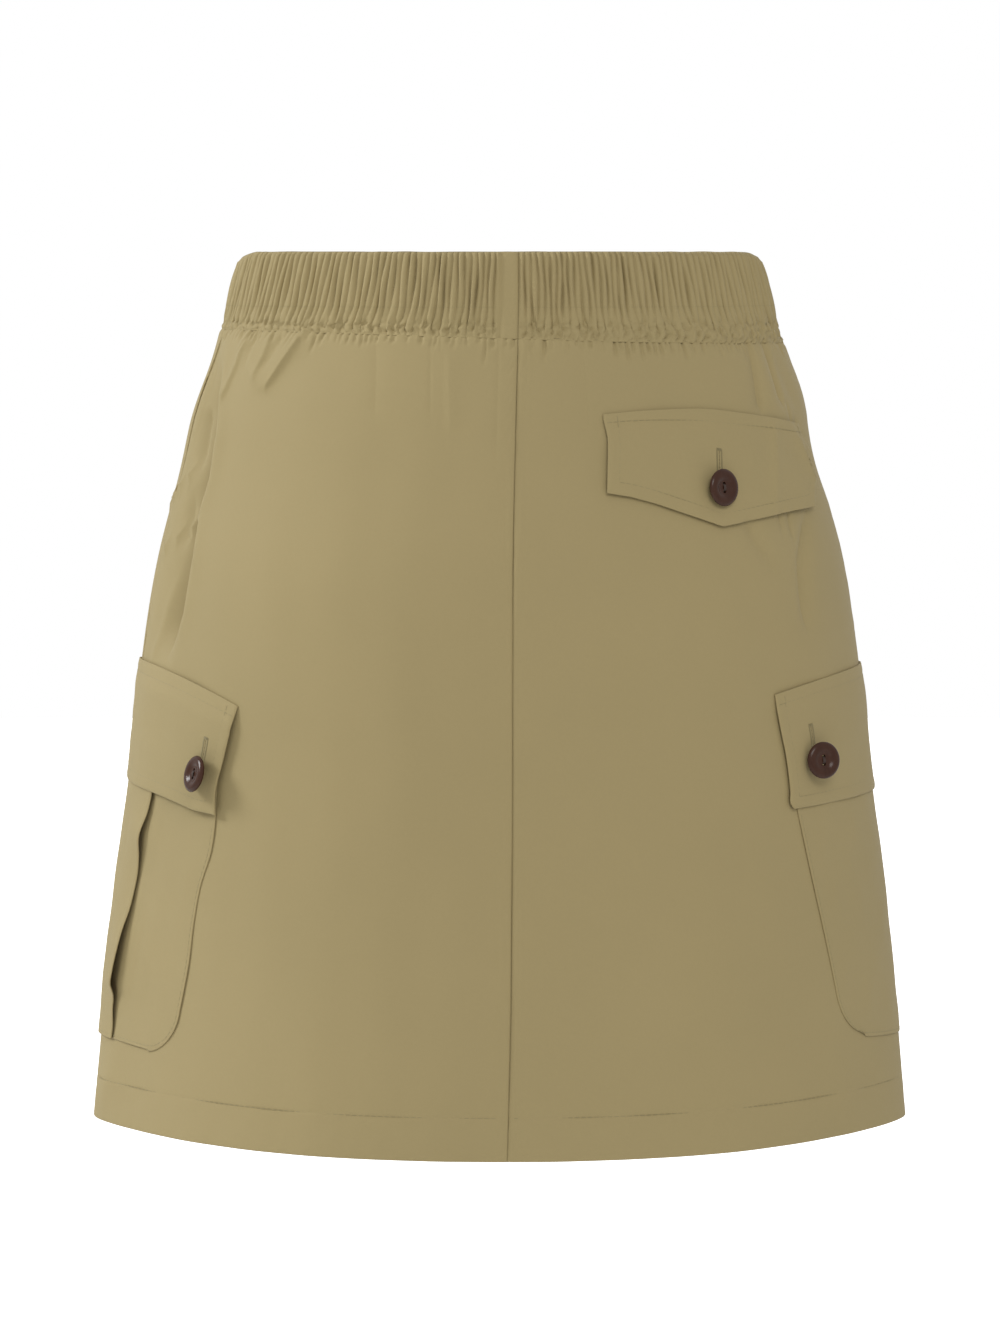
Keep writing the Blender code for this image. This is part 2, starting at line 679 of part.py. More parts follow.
def add_buttons():
    mesh = button_mesh()
    for pocket in CARGO_POCKETS:
        flap_point = functools.partial(cargo_flap_point, pocket)
        height = (pocket.flap_bottom - pocket.flap_top) * MM
        for row, back in (("rear", 1), ("front", -1)):
            spot = -pocket.side * back * pocket.button_out * MM, pocket.button_down * MM / height
            turn = pocket.side * back * pocket.button_turn
            name = f"button_{pocket.name}_{row}"
            add_button(name, mesh, flap_point, spot, height, turn, pocket.button_nod)
    height = max((c.bottom - c.top) * MM for c in BACK_FLAP_COLUMNS)
    spot = BACK_BUTTON_OUT, BACK_BUTTON_DOWN / height
    hung = BACK_BUTTON_TURN, BACK_BUTTON_NOD
    add_button("button_back_pocket", mesh, back_flap_point, spot, height, *hung)


def main():
    for leftover in list(bpy.data.objects):
        bpy.data.objects.remove(leftover, do_unlink=True)
    bpy.context.scene.collection.children.link(bpy.data.collections.new(NAME))
    add_panel("back_left_panel", [(-1, "back")])
    add_panel("back_right_panel", [(1, "back")])
    add_panel("front_panel", [(1, "front"), (-1, "front")])
    add_waistband()
    for pocket in CARGO_POCKETS:
        add_cargo_pocket(pocket)
        add_cargo_flap(pocket)
    add_back_flap()
    add_buttons()


main()
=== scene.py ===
"""Looks of the cargo utility skirt, laid out as a Blender add-on.

The cloth is made as thin shells on the solids' form, with their gathers, creases, hems,
seams and stitches. No simulation is run: each fold and crease has its place in a table.
Places on the cloth are given as in the model's own source:
  drop   how far below the waistband's top edge,
  way    how far round: 0 right side seam, 0.25 centre back, 0.5 left side seam,
         0.75 centre front,
  lift   how far outside the cloth's outer face.
Metres, +Z up, the back of the skirt faces -Y and +X is the wearer's right.
"""

import functools
import math
from collections import namedtuple

import bpy
import numpy as np
from mathutils import Matrix, Vector


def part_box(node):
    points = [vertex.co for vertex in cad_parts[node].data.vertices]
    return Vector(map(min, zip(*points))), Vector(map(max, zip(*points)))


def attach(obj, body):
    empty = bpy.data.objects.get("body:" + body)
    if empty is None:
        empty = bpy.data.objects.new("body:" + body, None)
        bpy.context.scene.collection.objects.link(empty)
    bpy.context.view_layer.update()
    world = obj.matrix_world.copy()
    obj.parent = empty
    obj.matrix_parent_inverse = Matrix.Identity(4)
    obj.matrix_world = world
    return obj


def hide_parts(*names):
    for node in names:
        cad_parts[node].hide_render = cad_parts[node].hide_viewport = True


bl_info = {
    "name": "Cargo utility skirt",
    "version": (1, 0, 0),
    "blender": (4, 5, 0),
    "location": "3D View > Sidebar > Skirt",
    "description": "Builds the cloth, buttons, sewing and studio of a cargo utility skirt",
    "category": "Object",
}

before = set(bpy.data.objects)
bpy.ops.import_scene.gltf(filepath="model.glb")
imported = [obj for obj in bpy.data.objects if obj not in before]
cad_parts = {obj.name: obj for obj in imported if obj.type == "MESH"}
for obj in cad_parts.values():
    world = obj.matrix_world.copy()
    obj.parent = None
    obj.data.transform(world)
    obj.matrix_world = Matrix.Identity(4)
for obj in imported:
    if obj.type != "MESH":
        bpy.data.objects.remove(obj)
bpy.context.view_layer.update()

MM = 0.001
TURN = 2 * math.pi

# ---------------------------------------------------------------- sizes of the skirt
LENGTH = 432 * MM  # the waistband's top edge to the hem
ELASTIC_HEIGHT = 34 * MM
BAND_HEIGHT = 42 * MM  # the elastic and the frill below it
BAND_LEAN = 3.4 * MM  # the frill is deeper on the wearer's right by this, and less on the left
BAND_THICKNESS = 3.2 * MM
HEM_HEIGHT = 22 * MM
SEAM_GAP = 0.3 * MM  # between two panels
BAND_GAP = 0.06 * MM  # between the waistband's two ends
TOP_LEVEL = ELASTIC_HEIGHT / 2  # height of the waistband's top edge

GATHERS = 196
FLAT_JOIN = 9 * MM  # plain cloth beside the waistband's seam
TOP_DIP = 3.8 * MM  # the waistband's upper edge sinks by this at the sides
DIP_REACH = 13 * MM

# Level sections of the cloth's outer face, top to bottom, in millimetres, those of the solids.
Section = namedtuple(
    "Section", "drop half_width back_depth front_depth side_pinch turn seam_forward"
)
SECTIONS = [
    Section(0, 129.0, 92, 95, 0.00, 9.0, -10),
    Section(20, 133.6, 96, 98, 0.00, 9.0, -10),
    Section(42, 139.8, 102, 101, 0.02, 8.6, -10),
    Section(70, 149.7, 111, 105, 0.05, 7.8, -10),
    Section(110, 159.2, 121, 109, 0.08, 6.8, -10),
    Section(150, 170.0, 129, 112, 0.12, 6.2, -9),
    Section(200, 178.4, 132, 114, 0.17, 6.0, -8),
    Section(250, 183.3, 132, 117, 0.23, 6.0, -3),
    Section(310, 191.4, 132, 120, 0.30, 5.6, 6),
    Section(370, 198.0, 134, 124, 0.36, 5.0, 15.5),
    Section(432, 203.4, 136, 128, 0.39, 3.4, 25),
]

# Soft folds, in millimetres, all but one where the solids have them. across is measured round
# the skirt: for the back and the front from the middle towards the wearer's right, and for
# the left and the right from the side seam towards the back. A fold fades past both its ends
# by this share of its length.
FOLD_FADE = 0.3
Fold = namedtuple("Fold", "side across_top drop_top across_bottom drop_bottom half_width rise")
FOLDS = [
    Fold("back", -112, 40, -136, 66, 9, 1.6),
    Fold("back", -150, 44, -132, 66, 8, 1.4),
    Fold("back", -170, 56, -166, 112, 7, 1.4),
    Fold("back", -184, 40, -182, 112, 9, -1.6),
    Fold("back", 150, 46, 172, 82, 8, -1.6),
    Fold("back", 130, 44, 148, 80, 8, 1.2),
    Fold("right", 0, 80, -4, 118, 17, -2.3),
    Fold("left", -18, 44, -18, 78, 22, -1.3),
    Fold("back", 166, 134, 162, 172, 5, -1.3),
    Fold("back", -236, 396, -250, 432, 12, 1.8),
    Fold("front", -120, 44, -150, 110, 11, 1.5),
    Fold("front", -60, 44, -72, 130, 13, 1.2),
    Fold("front", 44, 44, 58, 120, 12, 1.2),
    Fold("front", 112, 44, 146, 116, 11, 1.6),
    Fold("front", -96, 300, -110, 432, 26, 2.2),
    Fold("front", 88, 320, 104, 432, 24, 2.0),
]

# Finer creases, which the solids leave out: each follows a path of (across, drop), fades over
# its ends, and is steeper on the side where steep is below 0 (left, from outside) or above it.
# Its power makes it round (2) or sharp (1).
Crease = namedtuple("Crease", "side path half_width rise steep power", defaults=[0, 1.7])
CREASE_FADE = 9  # millimetres, at each end of a short crease
LONG_CREASE_FADE = 0.2  # share of its length, for a long one
STEEPER = 2.2
SEAM_FADE = 8 * MM  # creases die away this close to a side seam
CREASES = [
    Crease("back", [(-106, 36), (-117, 50), (-130, 66)], 4.0, 1.7, 1, 1.3),
    Crease("back", [(-121, 40), (-132, 56)], 3.0, -1.2),
    Crease("back", [(-129, 40), (-138, 62)], 3.8, 1.2, 1),
    Crease("back", [(-141, 40), (-147, 56)], 2.6, -1.0),
    Crease("back", [(-146, 40), (-153, 54), (-163, 72)], 4.0, 1.5, 1),
    Crease(
        "back",
        [(-172, 62), (-173, 88), (-178, 110), (-184, 123), (-187, 147), (-192, 175), (-199, 192)],
        12.0, -8.2, 1, 1.3,
    ),
    Crease("back", [(-186, 80), (-189, 106)], 6.5, -2.9, 1, 1.5),
    Crease("back", [(-194, 124), (-196, 142)], 6.5, -2.8, 1, 1.5),
    Crease(
        "back",
        [(-166, 58), (-163, 88), (-168, 110), (-174, 123), (-177, 147), (-183, 175), (-190, 190)],
        5.5, 1.7, 0, 1.5,
    ),
    Crease("left", [(19, 106), (-8, 125)], 4.2, 1.9, 1, 1.4),
    Crease("left", [(42, 127), (8, 147)], 4.2, 2.1, 1, 1.4),
    Crease("left", [(30, 160), (19, 200)], 3.5, 0.9),
    Crease("back", [(-69, 36), (-68, 76)], 4.0, -0.45, 0, 1.1),
    Crease("back", [(-42, 36), (-41, 78)], 1.1, -0.22, 0, 1.2),
    Crease("back", [(-33, 50), (-31, 84)], 4.5, 0.4, -1),
    Crease("back", [(-9.2, 30), (-9.0, 96)], 1.2, -0.2, 0, 1.2),
    Crease("back", [(31, 44), (35, 84)], 2.2, -0.35, 0, 1.2),
    Crease("back", [(128, 42), (134.5, 77)], 4.4, -2.8, 1, 1.2),
    Crease("back", [(143.5, 44), (154, 74)], 4.4, -2.8, 1, 1.2),
    Crease("back", [(159, 74), (163, 86)], 2.4, -1.3, 0, 1.2),
    Crease("back", [(168, 82), (172, 94)], 3.6, -1.5, 0, 1.3),
    Crease("back", [(162, 90), (175, 111)], 3.8, 1.5, 1, 1.4),
    Crease("back", [(141, 84), (139, 122)], 5.0, 1.2, -1, 1.3),
    Crease("back", [(121, 129), (129, 141), (138, 150)], 4.2, -2.2, 0, 1.3),
    Crease("back", [(170, 130), (161, 151), (163, 180)], 6.0, -3.0, -1, 1.3),
    Crease("back", [(153, 125), (154, 136)], 1.5, -1.6, 0, 1.3),
    Crease("back", [(145, 125), (146, 133)], 1.5, -1.3, 0, 1.3),
    Crease("front", [(-112, 40), (-124, 62)], 3.4, 1.0, 1, 1.3),
    Crease("front", [(-140, 42), (-152, 70)], 3.4, -0.9, 0, 1.3),
    Crease("front", [(118, 42), (134, 74)], 3.4, 1.0, -1, 1.3),
    Crease("front", [(148, 44), (160, 80)], 3.2, -0.9, 0, 1.3),
    Crease("front", [(-52, 40), (-54, 78)], 2.0, -0.35, 0, 1.2),
    Crease("front", [(38, 40), (44, 82)], 2.2, -0.35, 0, 1.2),
    Crease("front", [(-172, 66), (-166, 110), (-176, 160)], 6.0, -1.4, 0, 1.2),
    Crease("front", [(172, 70), (164, 112), (176, 166)], 6.0, -1.4, 0, 1.2),
    Crease("front", [(-10, 300), (-14, 360), (-12, 410)], 4.0, 0.6),
]
FAR = 1.0  # further than any fold reaches

# Cargo pockets, in millimetres: the drops of the flap's upper and lower edges and of the
# pocket's base at the side seam, how much further down they are at the flap's ends, how far
# behind the seam the flap ends, and where its buttons are sewn.
CargoPocket = namedtuple(
    "CargoPocket",
    "name side flap_top top_fall flap_bottom bottom_fall flap_rear base base_fall "
    "button_out button_down",
)
CARGO_POCKETS = [
    CargoPocket("left", -1, 201.5, 16.4, 262.0, 11.5, 96, 389.3, 2.5, 82.0, 40.9),
    CargoPocket("right", 1, 204.2, 8.3, 267.1, 2.3, 99, 389.7, -6.5, 77.4, 39.4),
]
POCKET_REACH = 93 * MM  # from its middle to either side edge
POCKET_CORNER = 20 * MM  # radius of its lower corners
POCKET_MOUTH = 14 * MM  # below the flap's upper edge
CORNER_FOOT = 0.12  # the corner's columns never draw in closer than this share

# The pocket's sheet from left to right, folded over in its pleat: distance from its middle,
# how far its face is outside the panel, and how far it follows the pleat where that gapes.
POCKET_SECTION = [
    (-93, 1.45, 0), (-2, 1.45, 0), (12, 1.7, 0), (24, 2.3, 0.2),
    (34, 2.5, 0.7), (41, 2.4, 1), (42.4, 2.0, 1), (41, 1.62, 1),
    (32, 1.57, 0.6), (25, 1.55, 0.15), (23.6, 1.5, 0.1), (25, 1.45, 0.1),
    (42, 1.45, 0.45), (54, 1.45, 0.12), (66, 1.45, 0), (93, 1.45, 0),
]
# How far the pleat's edge stands up: distance down the pocket from its mouth, and height.
GAPES = [
    (0, 0.0), (40, 0.2), (56, 1.2), (68, 3.4), (78, 1.5), (86, 0.3), (98, 0.4),
    (106, 1.4), (114, 3.2), (126, 4.8), (137, 5.6), (143, 5.4), (148, 2.8), (156, 1.6),
    (164, 0.4), (172, 0.0),
]

# How far the cargo flap's inner face stands outside the panel: distance from the flap's
# middle, and that height.
FLAP_COLUMNS = [
    (-95, 1.1), (-75, 1.1), (-50, 1.0), (-16, 0.85), (2, 0.9), (12, 1.4),
    (24, 2.6), (42, 3.0), (58, 3.1), (75, 3.2), (95, 2.8),
]
FLAP_REACH = 95 * MM  # from its middle to its front end
FLAP_RISEN = 0.2  # share of its height where it stands off in full
FLAP_FLARE = 0.15  # it stands off further by this at its lower edge
FLAP_SEWN = 0.1 * MM  # between a cargo flap and the panel at its sewn edge

# How far the side edges stray outwards, in millimetres: the pockets' by drop, the flaps' by
# share of their height.
POCKET_STRAYS = {
    "left": [
        (225, -2.6), (262, -2.6), (274, 0), (291, 1.6), (306, -0.6), (324, -0.4), (345, 1.8),
        (371, 2.0),
    ],
    "right": [(273, 1.4), (300, 0.6), (333, -1.3), (362, -2.6), (380, -3.4)],
}
FLAP_STRAYS = {
    "left": [(0, 0.4), (0.31, -1.1), (0.56, -3), (0.8, -3.7), (0.98, -1.4), (1, -1.2)],
    "right": [(0, 0), (0.14, 0.3), (0.56, -1.4), (0.85, -0.6), (0.96, 0.4), (1, -1.0)],
}
# How far the flaps' lower corners turn up, and where that starts and ends behind the seam.
FLAP_CORNER_RISE = {"left": 2.2 * MM, "right": 0.3 * MM}
FLAP_CORNER_START = 78 * MM
FLAP_CORNER_REACH = 20 * MM

# The pointed back flap: distance from the centre seam, drops of its edges, and how far its
# inner face is from the panel where it is sewn and once it has risen.
BackFlapColumn = namedtuple("BackFlapColumn", "from_centre top bottom sewn stand")
BACK_FLAP_COLUMNS = [
    BackFlapColumn(44, 77.5, 114.5, 0.45, 1.8),
    BackFlapColumn(56, 76.3, 116.5, 0.45, 1.5),
    BackFlapColumn(69, 75.6, 120.0, 0.45, 1.4),
    BackFlapColumn(82, 75.3, 124.2, 0.45, 1.4),
    BackFlapColumn(94, 75.4, 128.0, 0.45, 1.5),
    BackFlapColumn(105, 76.3, 131.5, 0.45, 1.8),
    BackFlapColumn(118, 77.9, 129.9, 0.45, 1.8),
    BackFlapColumn(131, 79.4, 128.2, 0.5, 1.8),
    BackFlapColumn(144, 81.1, 126.6, 0.7, 2.0),
    BackFlapColumn(157, 82.9, 125.4, 1.0, 2.4),
    BackFlapColumn(173, 84.4, 124.3, 1.4, 3.0),
]
BACK_FLAP_RISEN = 0.5
BACK_FLAP_POINT = 105 * MM  # from the centre seam
BACK_BUTTON_OUT = 103 * MM  # from the centre seam
BACK_BUTTON_DOWN = 37.5 * MM  # from the flap's upper edge

# The waistband's section, from its lower edge up the outside and down the inside: the height
# in its part, how far inside the outer face, and how much of the gathers it takes.
BandPoint = namedtuple("BandPoint", "part height inside gather")
BAND_SECTION = [
    BandPoint("frill", 0.0, 0.16, 0.25),
    BandPoint("frill", 0.55, 0.18, 0.6),
    BandPoint("elastic", 0.0, 0.2, 0.75),
    BandPoint("elastic", 0.5, 0.06, 1.0),
    BandPoint("elastic", 0.94, 0.16, 0.9),
    BandPoint("elastic", 1.0, 0.53, 0.4),
    BandPoint("elastic", 0.94, 1.0, 0.3),
    BandPoint("frill", 0.0, 0.7, 0.3),
]


# ---------------------------------------------------------------- what a user may change
class ClothSettings(bpy.types.PropertyGroup):
    colour: bpy.props.FloatVectorProperty(
        name="Colour", description="Colour of the twill", subtype="COLOR", size=3,
        default=(0.357, 0.281, 0.134), min=0, max=1,
    )
    shade: bpy.props.FloatVectorProperty(
        name="Shade", description="The twill's darker, greener shade", subtype="COLOR", size=3,
        default=(0.312, 0.249, 0.118), min=0, max=1,
    )
    thickness: bpy.props.FloatProperty(
        name="Thickness", description="One layer of cloth", unit="LENGTH", default=0.45 * MM,
        min=0.1 * MM, max=1 * MM,
    )
    flap_thickness: bpy.props.FloatProperty(
        name="Flap thickness", description="Two layers, sewn, turned and pressed",
        unit="LENGTH", default=0.8 * MM, min=0.4 * MM, max=1.2 * MM,
    )
    weave: bpy.props.FloatProperty(
        name="Weave", description="From one twill line to the next", unit="LENGTH",
        default=0.5 * MM, min=0.2 * MM, max=3 * MM,
    )


class SewingSettings(bpy.types.PropertyGroup):
    colour: bpy.props.FloatVectorProperty(
        name="Thread colour", description="Colour of the sewing thread", subtype="COLOR",
        size=3, default=(0.300, 0.250, 0.118), min=0, max=1,
    )
    stitch: bpy.props.FloatProperty(
        name="Stitch", description="Length of a stitch", unit="LENGTH", default=2.7 * MM,
        min=1 * MM, max=6 * MM,
    )
    thread: bpy.props.FloatProperty(
        name="Thread", description="Thickness of the sewing thread", unit="LENGTH",
        default=0.34 * MM, min=0.1 * MM, max=1 * MM,
    )
    inset: bpy.props.FloatProperty(
        name="Topstitch inset", description="From a flap's edge to its stitching",
        unit="LENGTH", default=6 * MM, min=1 * MM, max=10 * MM,
    )
    pocket_inset: bpy.props.FloatProperty(
        name="Pocket stitch inset", description="From a pocket's edge to its stitching",
        unit="LENGTH", default=1.8 * MM, min=1 * MM, max=6 * MM,
    )
    buttonhole: bpy.props.FloatProperty(
        name="Buttonhole", description="Length of a buttonhole", unit="LENGTH",
        default=19.5 * MM, min=19 * MM, max=26 * MM,
    )


class ButtonSettings(bpy.types.PropertyGroup):
    colour: bpy.props.FloatVectorProperty(
        name="Button colour", description="Colour of the resin", subtype="COLOR", size=3,
        default=(0.036, 0.013, 0.007), min=0, max=1,
    )
    streak: bpy.props.FloatVectorProperty(
        name="Streaks", description="Lighter streaks in the resin", subtype="COLOR", size=3,
        default=(0.064, 0.027, 0.016), min=0, max=1,
    )
    across: bpy.props.FloatProperty(
        name="Diameter", description="Across a button", unit="LENGTH", default=18 * MM,
        min=12 * MM, max=24 * MM,
    )
    thick: bpy.props.FloatProperty(
        name="Thickness", description="From a button's back to the top of its rim",
        unit="LENGTH", default=3.0 * MM, min=2 * MM, max=6 * MM,
    )
    hole: bpy.props.FloatProperty(
        name="Hole", description="Diameter of a thread hole", unit="LENGTH",
        default=1.9 * MM, min=1 * MM, max=3 * MM,
    )
    hole_pitch: bpy.props.FloatProperty(
        name="Hole pitch", description="From one thread hole to the other", unit="LENGTH",
        default=3.6 * MM, min=2 * MM, max=6 * MM,
    )


class StudioSettings(bpy.types.PropertyGroup):
    floor: bpy.props.FloatProperty(
        name="Floor", description="Height of the floor under the wearer's waist",
        unit="LENGTH", default=-1.05, min=-2, max=-0.5,
    )
    key: bpy.props.FloatProperty(
        name="Key light", description="Power of the soft light from the left",
        unit="POWER", default=53, min=0, max=500,
    )
    fill: bpy.props.FloatProperty(
        name="Fill light", description="Power of the soft light behind the wearer",
        unit="POWER", default=29, min=0, max=500,
    )
    front: bpy.props.FloatProperty(
        name="Front light", description="Power of the soft light before the wearer",
        unit="POWER", default=14, min=0, max=500,
    )
    ambient: bpy.props.FloatProperty(
        name="Ambient", description="Strength of the light from all round", default=0.62,
        min=0, max=2,
    )


# ---------------------------------------------------------------- the worn shape
LEVELS = np.arange(-6, 441) * MM  # drops at which the sections are worked out
WAYS = 1024


def hermite(x, xs, ys):
    """Cubic through the points (xs, ys), with slopes taken from each point's neighbours."""
    xs, ys = np.asarray(xs, float), np.asarray(ys, float)
    slopes = np.gradient(ys, xs)
    i = np.clip(np.searchsorted(xs, x) - 1, 0, len(xs) - 2)
    step = xs[i + 1] - xs[i]
    f = np.clip((x - xs[i]) / step, 0, 1)
    return (
        ys[i] * (1 + 2 * f) * (1 - f) ** 2
        + ys[i + 1] * (3 - 2 * f) * f**2
        + step * (slopes[i] * f * (1 - f) ** 2 - slopes[i + 1] * f**2 * (1 - f))
    )


def outline(angle, sizes):
    """Level section: points and outward directions at these angles from the +X side."""
    sine, cosine = np.sin(angle), np.cos(angle)
    depth = np.where(sine > 0, sizes.back_depth, sizes.front_depth) * MM
    pinch = sizes.side_pinch
    x = sizes.half_width * MM * cosine
    y = -depth * sine * (1 - pinch * cosine**4)
    dx = -sizes.half_width * MM * sine
    dy = -depth * (cosine * (1 - pinch * cosine**4) + 4 * pinch * cosine**3 * sine**2)
    size = np.hypot(dx, dy)
    return x, y, -dy / size, dx / size


def sizes_at(drop):
    """The section's sizes at an array of drops."""
    drops = [s.drop for s in SECTIONS]
    values = [hermite(drop / MM, drops, column) for column in list(zip(*SECTIONS))[1:]]
    return Section(drop, *values)


def worked_out_form():
    """Angle at each level and way, and the lengths of the back and front at each level."""
    angle = np.linspace(-0.25 * math.pi, 2.05 * math.pi, 2400)
    ways = np.linspace(0, 1, WAYS + 1)
    angles, backs, fronts = [], [], []
    for drop in LEVELS:
        sizes = sizes_at(np.full(1, drop))
        x, y, _, _ = outline(angle, sizes)
        arc = np.concatenate([[0], np.cumsum(np.hypot(np.diff(x), np.diff(y)))])
        arc -= np.interp(0, angle, arc)
        forward = sizes.seam_forward[0] * MM
        back = np.interp(math.pi, angle, arc) + 2 * forward
        front = np.interp(TURN, angle, arc) - back
        arcs = np.where(ways < 0.5, 2 * ways * back, back + (2 * ways - 1) * front)
        arcs += -sizes.turn[0] * MM - forward
        angles.append(np.interp(arcs, arc, angle))
        backs.append(back)
        fronts.append(front)
    return np.array(angles), np.array(backs), np.array(fronts)


ANGLES, BACK_LENGTHS, FRONT_LENGTHS = worked_out_form()


def back_length(drop):
    """Length of the cloth from side seam to side seam across the back."""
    return np.interp(drop, LEVELS, BACK_LENGTHS)


def front_length(drop):
    """Length of the cloth from side seam to side seam across the front."""
    return np.interp(drop, LEVELS, FRONT_LENGTHS)


def relief(way, drop):
    """How far the soft folds raise the cloth here."""
    back = way < 0.5
    around = 2 * np.where(back, back_length(drop), front_length(drop))
    here = {
        "back": np.where(back, (0.25 - way) * around, FAR),
        "front": np.where(back, FAR, (way - 0.75) * around),
        "right": np.where(back, way, way - 1) * around,
        "left": (0.5 - way) * around,
    }
    total = np.zeros(np.shape(around))
    for fold in FOLDS:
        f = (drop / MM - fold.drop_top) / (fold.drop_bottom - fold.drop_top)
        middle = fold.across_top + (fold.across_bottom - fold.across_top) * f
        fade = np.cos(np.pi * np.clip((f - 0.5) / (1 + 2 * FOLD_FADE), -0.5, 0.5)) ** 2
        spread = (here[fold.side] / MM - middle) / fold.half_width
        total += fold.rise * MM * fade * np.exp(-(spread**2))
    for crease in CREASES:
        across, down = (np.array(c, float) for c in zip(*crease.path))
        middle = np.interp(drop / MM, down, across)
        spread = (here[crease.side] / MM - middle) / crease.half_width
        spread = spread * np.where(spread * crease.steep > 0, STEEPER, 1)
        from_end = np.minimum(drop / MM - down[0], down[-1] - drop / MM)
        fading = max(CREASE_FADE, LONG_CREASE_FADE * (down[-1] - down[0]))
        fade = ease(0.5 + from_end / fading)
        if crease.side in ("back", "front"):
            to_seam = around / 4 - np.abs(here[crease.side])
            fade = fade * ease(to_seam / SEAM_FADE)
        total += crease.rise * MM * fade * np.exp(-(np.abs(spread) ** crease.power))
    return total


def surface(way, drop, lift=0.0):
    """Points of the cloth's outer face, moved out by lift."""
    way, drop, lift = np.broadcast_arrays(np.mod(way, 1.0), drop, lift)
    level = np.clip((drop - LEVELS[0]) / MM, 0, len(LEVELS) - 1.001)
    column = np.clip(way * WAYS, 0, WAYS - 0.001)
    i, k = level.astype(int), column.astype(int)
    f, g = level - i, column - k
    angle = (1 - f) * ((1 - g) * ANGLES[i, k] + g * ANGLES[i, k + 1])
    angle += f * ((1 - g) * ANGLES[i + 1, k] + g * ANGLES[i + 1, k + 1])
    x, y, out_x, out_y = outline(angle, sizes_at(drop))
    lift = lift + relief(way, drop)
    return np.stack([x + lift * out_x, y + lift * out_y, TOP_LEVEL - drop], -1)


def way_at(side, from_seam, drop):
    """The way of points this far behind the side seam of a side; ahead of it if negative."""
    length = np.where(from_seam > 0, back_length(drop), front_length(drop))
    part = from_seam / (2 * length)
    return part if side > 0 else 0.5 - part


def side_dip(x):
    """How far the waistband's upper edge sinks this far from the middle."""
    inward = (SECTIONS[0].half_width * MM - np.abs(x)) / DIP_REACH
    return TOP_DIP * ease(1 - np.sqrt(np.clip(inward, 0, 1)))


def band_bottom(way):
    """Drop of the waist seam."""
    return BAND_HEIGHT + BAND_LEAN * np.cos(TURN * way)


def bump(distance, half_width):
    """1 at no distance, and soon 0 beyond the half width."""
    return np.exp(-((distance / half_width) ** 2))


def ease(share):
    """0 to 1, level at both ends."""
    share = np.clip(share, 0, 1)
    return share * share * (3 - 2 * share)


def sideness(way):
    """0 over the middle of the back and the front, 1 towards the side seams."""
    return ease((np.abs(np.cos(TURN * way)) - 0.5) / 0.2)


CROSSED_WAVES = 7

# Soft unevenness of a piece of cloth: the seed and the scale of its waves, how much closer
# they are in the second direction than in the first, and their height.
Unevenness = namedtuple("Unevenness", "seed scale closer height")


def drift(along, across, seed, scale):
    """Soft, uneven height between about -1 and 1: a sum of crossed waves of this scale."""
    draw = np.random.default_rng(seed)
    total = np.zeros(np.broadcast(along, across).shape)
    for _ in range(CROSSED_WAVES):
        heading, phase = draw.uniform(0, TURN), draw.uniform(0, TURN)
        stretch = draw.uniform(0.6, 1.7)
        wave = along * math.cos(heading) + across * math.sin(heading)
        total = total + np.sin(TURN * wave / (scale * stretch) + phase)
    return 2 * total / CROSSED_WAVES


def uneven(soft, along, across, other=0):
    """Height of a piece's soft unevenness. A second piece of its kind takes another seed."""
    return soft.height * drift(along, soft.closer * across, soft.seed + other, soft.scale)


# ---------------------------------------------------------------- making cloth
def added(add, place=(0, 0, 0), **options):
    """What this operator of Blender's adds at a place, alone selected."""
    bpy.ops.object.select_all(action="DESELECT")
    add(location=place, **options)
    return bpy.context.object


def cloth_grid(name, columns, rows, place):
    """A grid of cloth. place(i, j) gives the points and the UVs of columns i and rows j,
    which run from left to right and from bottom to top as seen from outside."""
    piece = added(
        bpy.ops.mesh.primitive_grid_add, x_subdivisions=columns - 1, y_subdivisions=rows - 1, size=1
    )
    piece.name = piece.data.name = name
    mesh = piece.data
    flat = np.empty(len(mesh.vertices) * 3)
    mesh.vertices.foreach_get("co", flat)
    grid = flat.reshape(-1, 3)
    i = np.rint((grid[:, 0] + 0.5) * (columns - 1)).astype(int)
    j = np.rint((grid[:, 1] + 0.5) * (rows - 1)).astype(int)
    points, uv = place(i, j)
    mesh.vertices.foreach_set("co", points.astype(np.float32).ravel())
    corner = np.empty(len(mesh.loops), int)
    mesh.loops.foreach_get("vertex_index", corner)
    mesh.uv_layers[0].name = "cloth"
    mesh.uv_layers[0].data.foreach_set("uv", uv[corner].astype(np.float32).ravel())
    mesh.update()
    return piece


def give_wall(piece, thickness, even=True):
    """Gives an open sheet its thickness, inside its face. Even walls suit smooth sheets only."""
    wall = piece.modifiers.new("wall", "SOLIDIFY")
    wall.thickness = thickness
    wall.offset = -1
    wall.use_even_offset = even
    bpy.context.view_layer.objects.active = piece
    bpy.ops.object.modifier_apply(modifier=wall.name)
    piece.data.shade_smooth()


def finish_piece(piece, surface_finish, nodes=()):
    """The piece rides on the body, takes its finish and stands for its solids."""
    piece.data.materials.clear()
    piece.data.materials.append(surface_finish)
    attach(piece, "root")
    if nodes:
        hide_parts(*nodes)


